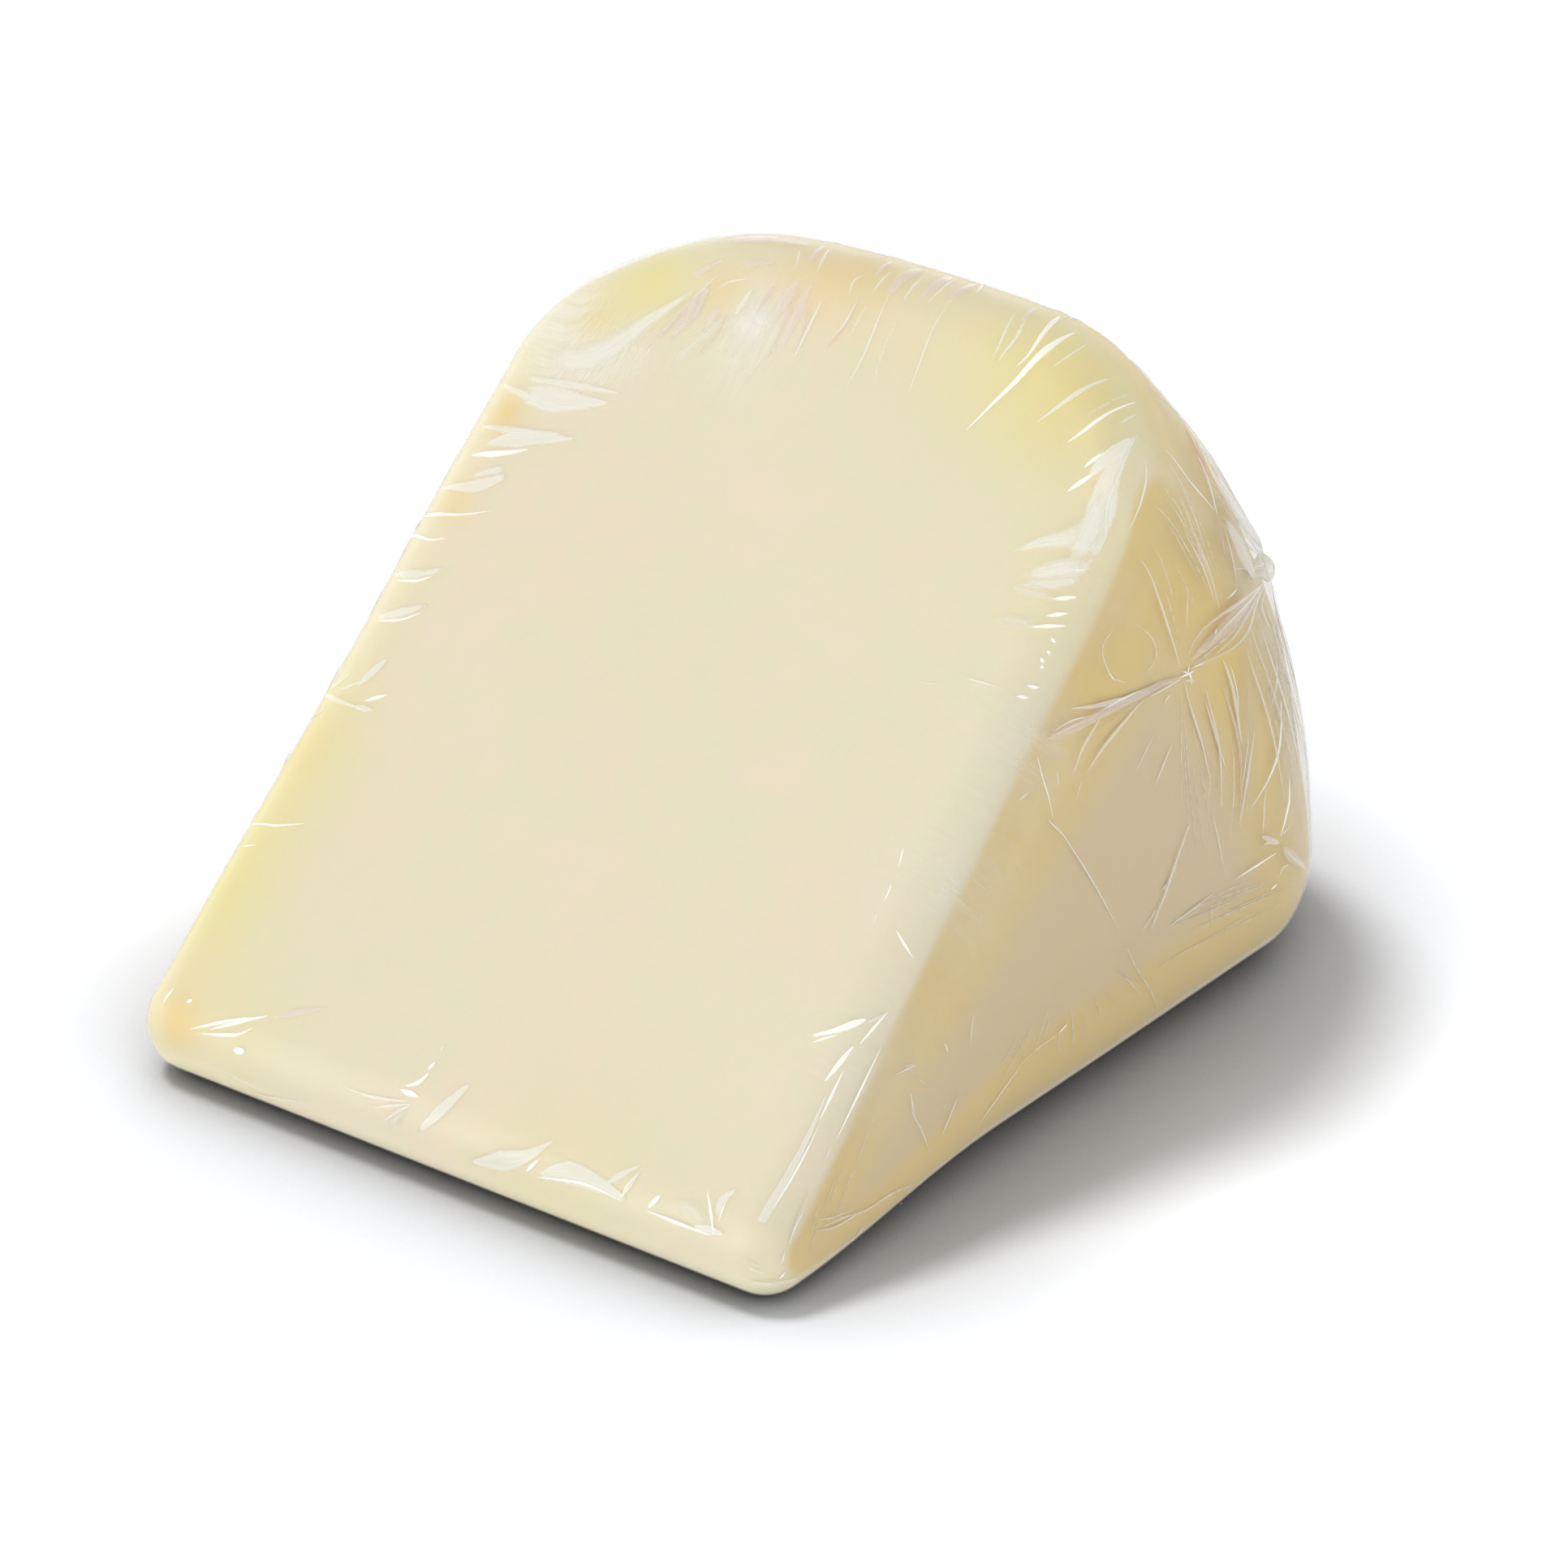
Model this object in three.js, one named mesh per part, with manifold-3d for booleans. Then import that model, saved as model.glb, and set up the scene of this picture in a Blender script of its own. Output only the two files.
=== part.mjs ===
// A wedge of cheese in tight clear film, lying on one of its two cut faces.
// The wedge is a sector of a round cheese whose axis runs along X, so the sides at +X and -X are
// the flat ends of the cheese, the curved back is its rim and the sloping top is the other cut.
// Millimetres, +Z up. The origin lies on the floor under the middle of the wedge.
import * as THREE from "three";
import Module from "manifold-3d";

const wasm = await Module();
wasm.setup();

// The sector.
const HALF_WIDTH = 50; // half the thickness of the round cheese
const NOSE_HALF_WIDTH = 48.8; // the same at the thin front edge
const SIDE_TAPER = 0.03; // each side leans in by this much per millimetre towards the rim
const RIM_RADIUS = 126.5; // from the front edge to the rim, half way across
const RIM_BARREL = 1.5; // how far the rim stands out half way up
const SECTOR = THREE.MathUtils.degToRad(42.7); // angle between the two cuts

// Its rounded edges.
const NOSE_ROUND = 6.7; // front edge
const CUT_EDGE_ROUND = 9.3; // between the sloping cut and each side
const FLOOR_EDGE_ROUND = 13.4; // between the floor and each side
const RIM_EDGE_ROUND = 10.7; // between the rim and each cut
const SHOULDER_WIDTH = 29.8; // how far in from each side the rim begins to fall away
const SHOULDER_DROP = 21.3; // and by how much it has fallen at the side
const RIM_BULGE = 6; // further fall of the rim from the middle to the sides
const RIM_LEAN = 2.1; // the rim stands further out by this at +X
const NOSE_BLEND = 42; // the edges reach their full rounding this far behind the front edge
const END_ROUND_SHARE = 0.9; // share of a rounding that a side takes up, so that no arc closes

// Unevenness of the soft cheese under the film.
const UNEVEN = 0.14;
const UNEVEN_PERIOD = [41, 57, 33]; // wavelengths along X, Y and Z
const UNEVEN_FADE = 16; // height above the floor at which it is full

// Folds of the film: a flat hump along each fold.
const FOLD_WIDTH = 0.75; // half width of a fold in a bundle
const FOLD_SINK = 0.15; // share of the height that lies in the cheese
const FOLD_SIDES = 8;
const FOLD_STEPS = 9;
const FOLD_STEP_LENGTH = 0.5;

// Samples of the skin: along each section of the outline, and from the middle to a side.
const SECTION = { floor: 16, lowEdge: 6, rim: 14, topEdge: 6, cut: 20, nose: 6 };
const SECTIONS = Object.values(SECTION);
const BAND_STEPS = 3;
const SHOULDER_STEPS = 4;
const ROUND_STEPS = 7;
const SIDE_RINGS = 5;
const SIDE_MIDDLE = { reach: 0.6, turn: 0.5 }; // shares of the rim radius and of the sector

const CUT_NORMAL = new THREE.Vector2(-Math.sin(SECTOR), Math.cos(SECTOR));
const NOSE_CENTRE = new THREE.Vector2(NOSE_ROUND, NOSE_ROUND);
const CUT_HEIGHT = NOSE_CENTRE.dot(CUT_NORMAL) + NOSE_ROUND; // of the cut plane, along its normal
const QUARTER = Math.PI / 2;

// A direction in the plane of the outline, as (y, z).
function heading(angle) {
  return new THREE.Vector2(Math.cos(angle), Math.sin(angle));
}

// How far a rounding of this depth and width has fallen, at x from the middle.
function roundedDrop(x, depth, width) {
  const share = THREE.MathUtils.clamp((x - HALF_WIDTH + width) / width, 0, 1);
  return depth * (1 - Math.sqrt(1 - share * share));
}

// What the outline of the wedge is made of in the slice at x, which runs from -50 to 50.
function slice(x) {
  const out = Math.abs(x);
  const share = x / HALF_WIDTH;
  const edgeShare = END_ROUND_SHARE * RIM_EDGE_ROUND;
  const noseShare = END_ROUND_SHARE * NOSE_ROUND;
  const edge = RIM_EDGE_ROUND - roundedDrop(out, edgeShare, edgeShare);
  const floorDrop = roundedDrop(out, FLOOR_EDGE_ROUND, FLOOR_EDGE_ROUND);
  const cutDrop = roundedDrop(out, CUT_EDGE_ROUND, CUT_EDGE_ROUND);
  const nose = NOSE_ROUND - roundedDrop(out, noseShare, noseShare);
  const shoulder = roundedDrop(out, SHOULDER_DROP, SHOULDER_WIDTH);
  const radius = RIM_RADIUS - shoulder - RIM_BULGE * share * share + RIM_LEAN * share;
  const rim = (angle) => {
    const up = angle / SECTOR;
    return radius + 4 * RIM_BARREL * up * (1 - up);
  };
  // The circle of each rim edge touches the rim and one cut.
  const centre = (offset, base) => {
    const first = base + Math.asin(offset / (radius - edge));
    const reach = rim(first) - edge;
    const angle = base + Math.asin(offset / reach);
    return { angle, at: heading(angle).multiplyScalar(reach) };
  };
  const low = centre(floorDrop + edge, 0);
  const top = centre(CUT_HEIGHT - cutDrop - edge, SECTOR);
  return { x, edge, floorDrop, cutDrop, nose, rim, low, top };
}

// The width of the wedge at a point of the outline, as a share of its full width,
// and how far the edges there have left the rounding of the front edge behind.
function widthAt(point) {
  const back = point.length();
  const blend = THREE.MathUtils.smoothstep(back - NOSE_ROUND, 0, NOSE_BLEND);
  const width = THREE.MathUtils.lerp(NOSE_HALF_WIDTH, HALF_WIDTH, blend);
  return { blend, share: (width / HALF_WIDTH) * (1 - (SIDE_TAPER * back) / HALF_WIDTH) };
}

// The point of a slice, as (y, z), at a place on its outline: the whole part names the section, in
// the order of SECTION, and the rest is the share of that section.
function outlinePoint(cut, place) {
  const section = Math.floor(place) % SECTIONS.length;
  const u = place - Math.floor(place);
  const noseDrop = NOSE_ROUND - cut.nose;
  let point;
  if (section === 0) {
    point = new THREE.Vector2(THREE.MathUtils.lerp(NOSE_ROUND, cut.low.at.x, u), 0);
    point.y = THREE.MathUtils.lerp(noseDrop, cut.floorDrop, widthAt(point).blend);
  } else if (section === 1) {
    const angle = THREE.MathUtils.lerp(-QUARTER, cut.low.angle, u);
    point = cut.low.at.clone().addScaledVector(heading(angle), cut.edge);
  } else if (section === 2) {
    const angle = THREE.MathUtils.lerp(cut.low.angle, cut.top.angle, u);
    point = heading(angle).multiplyScalar(cut.rim(angle));
  } else if (section === 3) {
    const angle = THREE.MathUtils.lerp(cut.top.angle, SECTOR + QUARTER, u);
    point = cut.top.at.clone().addScaledVector(heading(angle), cut.edge);
  } else if (section === 4) {
    const end = cut.top.at.clone().addScaledVector(CUT_NORMAL, cut.edge + cut.cutDrop);
    const start = NOSE_CENTRE.clone().addScaledVector(CUT_NORMAL, NOSE_ROUND);
    point = end.lerp(start, u);
    const drop = THREE.MathUtils.lerp(noseDrop, cut.cutDrop, widthAt(point).blend);
    point.addScaledVector(CUT_NORMAL, -drop);
  } else {
    const angle = THREE.MathUtils.lerp(SECTOR + QUARTER, 3 * QUARTER, u);
    point = NOSE_CENTRE.clone().addScaledVector(heading(angle), cut.nose);
  }
  return point;
}

// Unevenness is a sum of slow waves that leaves the floor face flat.
function unevenness(p) {
  const [a, b, c] = UNEVEN_PERIOD.map((period) => (2 * Math.PI) / period);
  const wave = Math.sin(a * p.x + 1) * Math.sin(b * p.y) + 0.7 * Math.sin(c * p.z + 0.4 * p.x * a);
  return UNEVEN * wave * THREE.MathUtils.smoothstep(p.z, 0, UNEVEN_FADE);
}

// The point of the even skin at a place round the outline and at x across.
// Beyond the last slice, x counts from 50 at the edge of a side to 51 at its middle.
function evenSkin(place, x) {
  const cut = slice(THREE.MathUtils.clamp(x, -HALF_WIDTH, HALF_WIDTH));
  const over = Math.max(0, Math.abs(x) - HALF_WIDTH);
  const middle = heading(SECTOR * SIDE_MIDDLE.turn).multiplyScalar(RIM_RADIUS * SIDE_MIDDLE.reach);
  const point = outlinePoint(cut, place).lerp(middle, over);
  return new THREE.Vector3(cut.x * widthAt(point).share, point.x, point.y);
}

const INSIDE = new THREE.Vector3(0, RIM_RADIUS * 0.6, RIM_RADIUS * 0.25);

// The skin's outward normal at a place, from its slope both ways.
function normalAt(place, x) {
  const h = 0.02;
  const inner = Math.sign(x || 1) * Math.min(Math.abs(x), HALF_WIDTH + 1 - 2 * h);
  const round = evenSkin(place + h, inner).sub(evenSkin(place + SECTIONS.length - h, inner));
  const across = evenSkin(place, inner + h).sub(evenSkin(place, inner - h));
  const normal = round.cross(across).normalize();
  const outward = evenSkin(place, inner).sub(INSIDE);
  return normal.dot(outward) < 0 ? normal.negate() : normal;
}

// The skin with its unevenness, and its normal.
function skin(place, x) {
  const point = evenSkin(place, x);
  const normal = normalAt(place, x);
  return { point: point.addScaledVector(normal, unevenness(point)), normal };
}

// Slices from the middle to one side, closest together where the edges are round.
function stations() {
  const list = [];
  const flat = HALF_WIDTH - SHOULDER_WIDTH;
  const shoulderEnd = Math.asin((HALF_WIDTH - CUT_EDGE_ROUND - flat) / SHOULDER_WIDTH);
  for (let i = 0; i < BAND_STEPS; i++) {
    list.push((flat * i) / BAND_STEPS);
  }
  for (let i = 0; i < SHOULDER_STEPS; i++) {
    list.push(flat + SHOULDER_WIDTH * Math.sin((shoulderEnd * i) / SHOULDER_STEPS));
  }
  for (let i = 0; i <= ROUND_STEPS; i++) {
    const turn = (QUARTER * i) / ROUND_STEPS;
    list.push(HALF_WIDTH - CUT_EDGE_ROUND * (1 - Math.sin(turn)));
  }
  for (let i = 1; i < SIDE_RINGS; i++) {
    list.push(HALF_WIDTH + i / SIDE_RINGS);
  }
  return list;
}

// A closed skin from rings of points with a single point at each end.
function closedSkin(rings, first, last) {
  const around = rings[0].length;
  const points = [first, ...rings.flat(), last];
  const end = points.length - 1;
  const faces = [];
  for (let j = 0; j < around; j++) {
    const k = (j + 1) % around;
    faces.push(0, 1 + k, 1 + j);
    for (let i = 0; i + 1 < rings.length; i++) {
      const a = 1 + i * around;
      const b = a + around;
      faces.push(a + j, a + k, b + k, a + j, b + k, b + j);
    }
    const tail = 1 + (rings.length - 1) * around;
    faces.push(tail + j, tail + k, end);
  }
  return solid(points, faces);
}

// A manifold-3d solid of these points and triangles, turned to face out.
function solid(points, faces) {
  const vertProperties = new Float32Array(points.flatMap((p) => [p.x, p.y, p.z]));
  const triVerts = new Uint32Array(faces);
  const made = new wasm.Manifold(new wasm.Mesh({ numProp: 3, vertProperties, triVerts }));
  if (made.volume() > 0) return made;
  for (let i = 0; i < triVerts.length; i += 3) {
    [triVerts[i + 1], triVerts[i + 2]] = [triVerts[i + 2], triVerts[i + 1]];
  }
  return new wasm.Manifold(new wasm.Mesh({ numProp: 3, vertProperties, triVerts }));
}

function wedgeSolid() {
  const places = SECTIONS.flatMap((n, section) =>
    Array.from({ length: n }, (_, i) => section + i / n),
  );
  const half = stations();
  const across = [...half.slice(1).reverse().map((x) => -x), ...half];
  const rings = across.map((x) => places.map((place) => skin(place, x).point));
  const middle = HALF_WIDTH + 1;
  return closedSkin(rings, skin(0, -middle).point, skin(0, middle).point);
}

// A low hump along a path of skin points, widest half way and closed at both ends.
function hump(path, width, height) {
  const last = path.length - 1;
  const rings = path.slice(1, last).map(({ point, normal }, i) => {
    const along = path[i + 2].point.clone().sub(path[i].point).normalize();
    const aside = along.clone().cross(normal).normalize();
    const swell = Math.sin((Math.PI * (i + 1)) / last) ** 0.6;
    return Array.from({ length: FOLD_SIDES }, (_, k) => {
      const angle = (2 * Math.PI * k) / FOLD_SIDES;
      const rise = height * swell * (Math.sin(angle) - FOLD_SINK);
      const reach = width * swell * Math.cos(angle);
      return point.clone().addScaledVector(normal, rise).addScaledVector(aside, reach);
    });
  });
  return closedSkin(rings, path[0].point, path[last].point);
}

// Walks over the skin from a place: angle 0 leads towards +X and 90 degrees on round the outline.
function walk(place, x, angle, length, bend) {
  const steps = Math.ceil(length / FOLD_STEP_LENGTH);
  const h = 0.01;
  const trail = [];
  for (let i = 0; i <= steps; i++) {
    trail.push(skin(place, x));
    const here = evenSkin(place, x);
    const turned = angle + (bend * i) / steps;
    const round = evenSkin(place + h, x).distanceTo(here) / h;
    const across = evenSkin(place, x - Math.sign(x || 1) * h).distanceTo(here) / h;
    place += ((length / steps) * Math.sin(turned)) / round;
    x += ((length / steps) * Math.cos(turned)) / across;
  }
  return Array.from({ length: FOLD_STEPS + 1 }, (_, i) => {
    return trail[Math.round((i * steps) / FOLD_STEPS)];
  });
}

// A path over the skin through a few places on it.
function through(waypoints) {
  const marks = waypoints.map(([place, x]) => skin(place, x));
  const points = new THREE.CatmullRomCurve3(marks.map((m) => m.point));
  const normals = new THREE.CatmullRomCurve3(marks.map((m) => m.normal));
  return Array.from({ length: FOLD_STEPS + 1 }, (_, i) => ({
    point: points.getPoint(i / FOLD_STEPS),
    normal: normals.getPoint(i / FOLD_STEPS).normalize(),
  }));
}

// Bundles of folds. place and x are where the middle fold of a bundle starts, angle is its way
// over the skin in degrees and bend the turn on that way. From each fold to the next, the start
// moves by down, in millimetres round the outline, and by out, across it, and the way turns by fan.
const BUNDLES = [
  { name: "leftCornerFan", place: 4.2, x: -38, angle: -55, length: 17, count: 3, down: 4, fan: 16 },
  { name: "leftEdgeMiddle", place: 4.37, x: -46, angle: -20, length: 10, count: 2, down: 3.2, fan: 8 },
  { name: "leftEdgeFan", place: 4.55, x: -47.5, angle: -20, length: 13, count: 3, down: 1.6, fan: 17 },
  { name: "topLeftFan", place: 3.93, x: -21, angle: 31, length: 18, count: 3, out: 12, fan: 7 },
  { name: "topMiddle", place: 3.5, x: 0, angle: 40, length: 17, count: 2, out: 6, fan: -14 },
  { name: "topRightStreaks", place: 3.6, x: 17, angle: 0, length: 17, count: 2, down: 3, fan: -8 },
  { name: "topRightCorner", place: 3.6, x: 42.5, angle: 70, length: 19, count: 1, bend: 75 },
  { name: "cutEdgeStreaks", place: 4.1, x: 44.8, angle: 108, length: 13, count: 2, down: 3, fan: 6 },
  { name: "noseStreak", place: 4.69, x: 46.5, angle: 97, length: 30, count: 1, bend: -8 },
  { name: "noseStreakBranch", place: 4.76, x: 39.5, angle: -8, length: 7, count: 1 },
  { name: "lipFold", place: 5.02, x: -17, angle: 10, length: 20, count: 1 },
  { name: "lipPatches", place: 5.15, x: 6, angle: 2, length: 15, count: 1 },
  { name: "lipPatchesRight", place: 5.13, x: 27, angle: 4, length: 17, count: 2, down: 2.4, fan: 4 },
  { name: "lipLeftStreaks", place: 5.06, x: -42, angle: -12, length: 20, count: 2, down: 2.2, fan: 4 },
];
const FOLD_HEIGHT = 0.32;
const SHORTER_OUTWARDS = 0.25; // of the length, for each fold further from the middle one

// Folds on the side at +X, through a few places each: the pleat that runs from the edge of the
// cut to the gathered end of the film, its branches, and the creases below it.
const SIDE_FOLDS = [
  { width: 1.1, height: 0.9, way: [[4.26, 47.5], [4.2, 49.6], [4.125, 50.2], [2.82, 50.2], [2.71, 49.9]] },
  { width: 0.9, height: 0.9, way: [[2.82, 50.2], [2.71, 49.9], [2.66, 48.6], [2.62, 45.4]] },
  { width: 0.6, height: 0.6, way: [[2.84, 50.1], [2.78, 49.7], [2.7, 48.3], [2.63, 45.6]] },
  { width: 0.6, height: 0.5, way: [[4.02, 49], [3, 50.1], [2.82, 50.2]] },
  { width: 0.5, height: 0.4, way: [[3.35, 44.9], [2.893, 46.9], [2.727, 46.9]] },
  { width: 0.5, height: 0.4, way: [[4.29, 48.4], [4.354, 50.1], [0.571, 50.6], [0.758, 49.4]] },
  { width: 0.6, height: 0.4, way: [[4.54, 50.9], [0.792, 50.3], [0.867, 48.9]] },
];

// The gathered end of the film: a small knob that stands out of the side.
const KNOB_PLACE = 2.61;
const KNOB_X = 44;
const KNOB_PROFILE = [
  { out: -1.2, radius: 1 },
  { out: 0.1, radius: 1.3 },
  { out: 0.5, radius: 1.7 },
  { out: 1.1, radius: 1.7 },
  { out: 1.6, radius: 1.2 },
];
const KNOB_END = 1.9;
const KNOB_ROOT = 0.4; // how far the pointed root goes below the first ring
const KNOB_TALL = 1.2; // height and width of the knob, as shares of its round section
const KNOB_THIN = 0.8;
const KNOB_SIDES = 12;

function knobSolid() {
  const { point, normal } = skin(KNOB_PLACE, KNOB_X);
  const up = new THREE.Vector3(0, 0, 1).addScaledVector(normal, -normal.z).normalize();
  const side = normal.clone().cross(up);
  const out = (distance) => point.clone().addScaledVector(normal, distance);
  const rings = KNOB_PROFILE.map(({ out: distance, radius }) =>
    Array.from({ length: KNOB_SIDES }, (_, k) => {
      const angle = (2 * Math.PI * k) / KNOB_SIDES;
      return out(distance)
        .addScaledVector(up, KNOB_TALL * radius * Math.cos(angle))
        .addScaledVector(side, KNOB_THIN * radius * Math.sin(angle));
    }),
  );
  return closedSkin(rings, out(KNOB_PROFILE[0].out - KNOB_ROOT), out(KNOB_END));
}

function bundleSolids(bundle) {
  const { place, x, angle, length, count, down = 0, out = 0, fan = 0, bend = 0 } = bundle;
  const round = evenSkin(place + 0.01, x).distanceTo(evenSkin(place, x)) / 0.01;
  return Array.from({ length: count }, (_, i) => {
    const order = i - (count - 1) / 2;
    const way = THREE.MathUtils.degToRad(angle + order * fan);
    const reach = length * (1 - SHORTER_OUTWARDS * Math.abs(order));
    const start = place + (order * down) / round;
    const turn = THREE.MathUtils.degToRad(bend);
    return hump(walk(start, x + order * out, way, reach, turn), FOLD_WIDTH, FOLD_HEIGHT);
  });
}

function wrappedWedge() {
  const folds = [
    ...BUNDLES.flatMap(bundleSolids),
    ...SIDE_FOLDS.map(({ way, width, height }) => hump(through(way), width, height)),
    knobSolid(),
  ];
  return folds.reduce((whole, fold) => whole.add(fold), wedgeSolid());
}

// A three.js geometry of a solid, set down with its origin on the floor under its middle.
function geometryOf(made) {
  const mesh = made.getMesh();
  const positions = new THREE.BufferAttribute(new Float32Array(mesh.vertProperties), 3);
  const geometry = new THREE.BufferGeometry().setAttribute("position", positions);
  geometry.setIndex(new THREE.BufferAttribute(new Uint32Array(mesh.triVerts), 1));
  geometry.computeBoundingBox();
  const { min, max } = geometry.boundingBox;
  geometry.translate(-(min.x + max.x) / 2, -(min.y + max.y) / 2, -min.z);
  geometry.computeVertexNormals();
  return geometry;
}

const material = new THREE.MeshStandardMaterial({ color: 0xefe6c6, roughness: 0.35, metalness: 0 });
const mesh = new THREE.Mesh(geometryOf(wrappedWedge()), material);
mesh.name = "wrapped_wedge";
const group = new THREE.Group();
group.name = "cheese_wedge";
group.add(mesh);

export default group;
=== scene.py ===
"""A wedge of pale yellow cheese, wrapped tight in clear stretch film, on a white studio floor.

The cheese is one closed body. Over it lie the film, the pleats and sheen streaks where the film is
stretched over the edges, the fine threads that tension draws in it, and its gathered end.
All lengths are in millimetres until a mesh is made, which is in metres.
"""

from __future__ import annotations

import logging
import math
from dataclasses import dataclass, field, replace
from enum import Enum
from typing import Sequence

import bpy
import numpy as np
from bpy.types import Material, Mesh, Node, NodeSocket, NodeTree, Object
from mathutils import Matrix, Vector
from mathutils.bvhtree import BVHTree

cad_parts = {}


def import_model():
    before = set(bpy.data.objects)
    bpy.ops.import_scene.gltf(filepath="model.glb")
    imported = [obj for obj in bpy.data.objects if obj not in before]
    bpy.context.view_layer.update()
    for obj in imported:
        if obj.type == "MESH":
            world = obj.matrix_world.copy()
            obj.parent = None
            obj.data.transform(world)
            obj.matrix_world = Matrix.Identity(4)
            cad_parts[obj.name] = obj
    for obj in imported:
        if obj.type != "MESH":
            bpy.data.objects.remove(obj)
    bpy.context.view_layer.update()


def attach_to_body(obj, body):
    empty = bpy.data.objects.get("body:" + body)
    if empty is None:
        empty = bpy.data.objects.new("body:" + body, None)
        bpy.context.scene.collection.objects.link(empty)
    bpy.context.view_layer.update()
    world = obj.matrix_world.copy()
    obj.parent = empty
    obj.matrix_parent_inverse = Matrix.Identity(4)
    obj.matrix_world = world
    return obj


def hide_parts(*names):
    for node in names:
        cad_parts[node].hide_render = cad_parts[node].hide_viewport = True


LOG = logging.getLogger("cheese_wedge")

NODE = "wrapped_wedge"
BODY = "root"
MM = 0.001
SHIFT_Y = -63.524  # from the tip of the front edge to the middle of the box
SECTIONS = 6
TOP_EDGE = 3  # the section of the upper rim edge
QUARTER = math.pi / 2
SEED = 20
TINY = 1e-9
NUDGE = 0.01  # a small step in place
FEWEST_STEPS = 4
MIRROR_STRAY = 0.03
MIRROR_WIDER = 0.3
MIRROR_FLATTER = 0.4
MIX_COLOR_INPUTS = (0, 6, 7)  # a Mix node lists its sockets for numbers and vectors first
MIX_COLOR_OUTPUT = 2
TRANSPARENT_BOUNCES = 20

Pair = tuple[float, float]
Triple = tuple[float, float, float]
Color = tuple[float, float, float, float]
Face = tuple[int, ...]
Array = np.ndarray


class Slot(Enum):
    """The record's material slots."""

    CHEESE = "wrapped_cheese"
    FILM = "clear_film"


class Tone(Enum):
    """The tint of a fold of film and of the sheen painted on it, as the share of rose in it."""

    WHITE = 0.0
    LILAC = 0.2
    PALE_ROSE = 0.36
    ROSE = 0.55
    DEEP_ROSE = 1.0


def smoothstep(value: Array, low: float, high: float) -> Array:
    """Goes from 0 at low to 1 at high with level ends."""
    share = np.clip((value - low) / (high - low), 0, 1)
    return share * share * (3 - 2 * share)


def unit(vectors: Array) -> Array:
    """Scales each vector in the last axis to length 1."""
    length = np.linalg.norm(vectors, axis=-1, keepdims=True)
    return vectors / np.maximum(length, TINY)


# ---- the form


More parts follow.
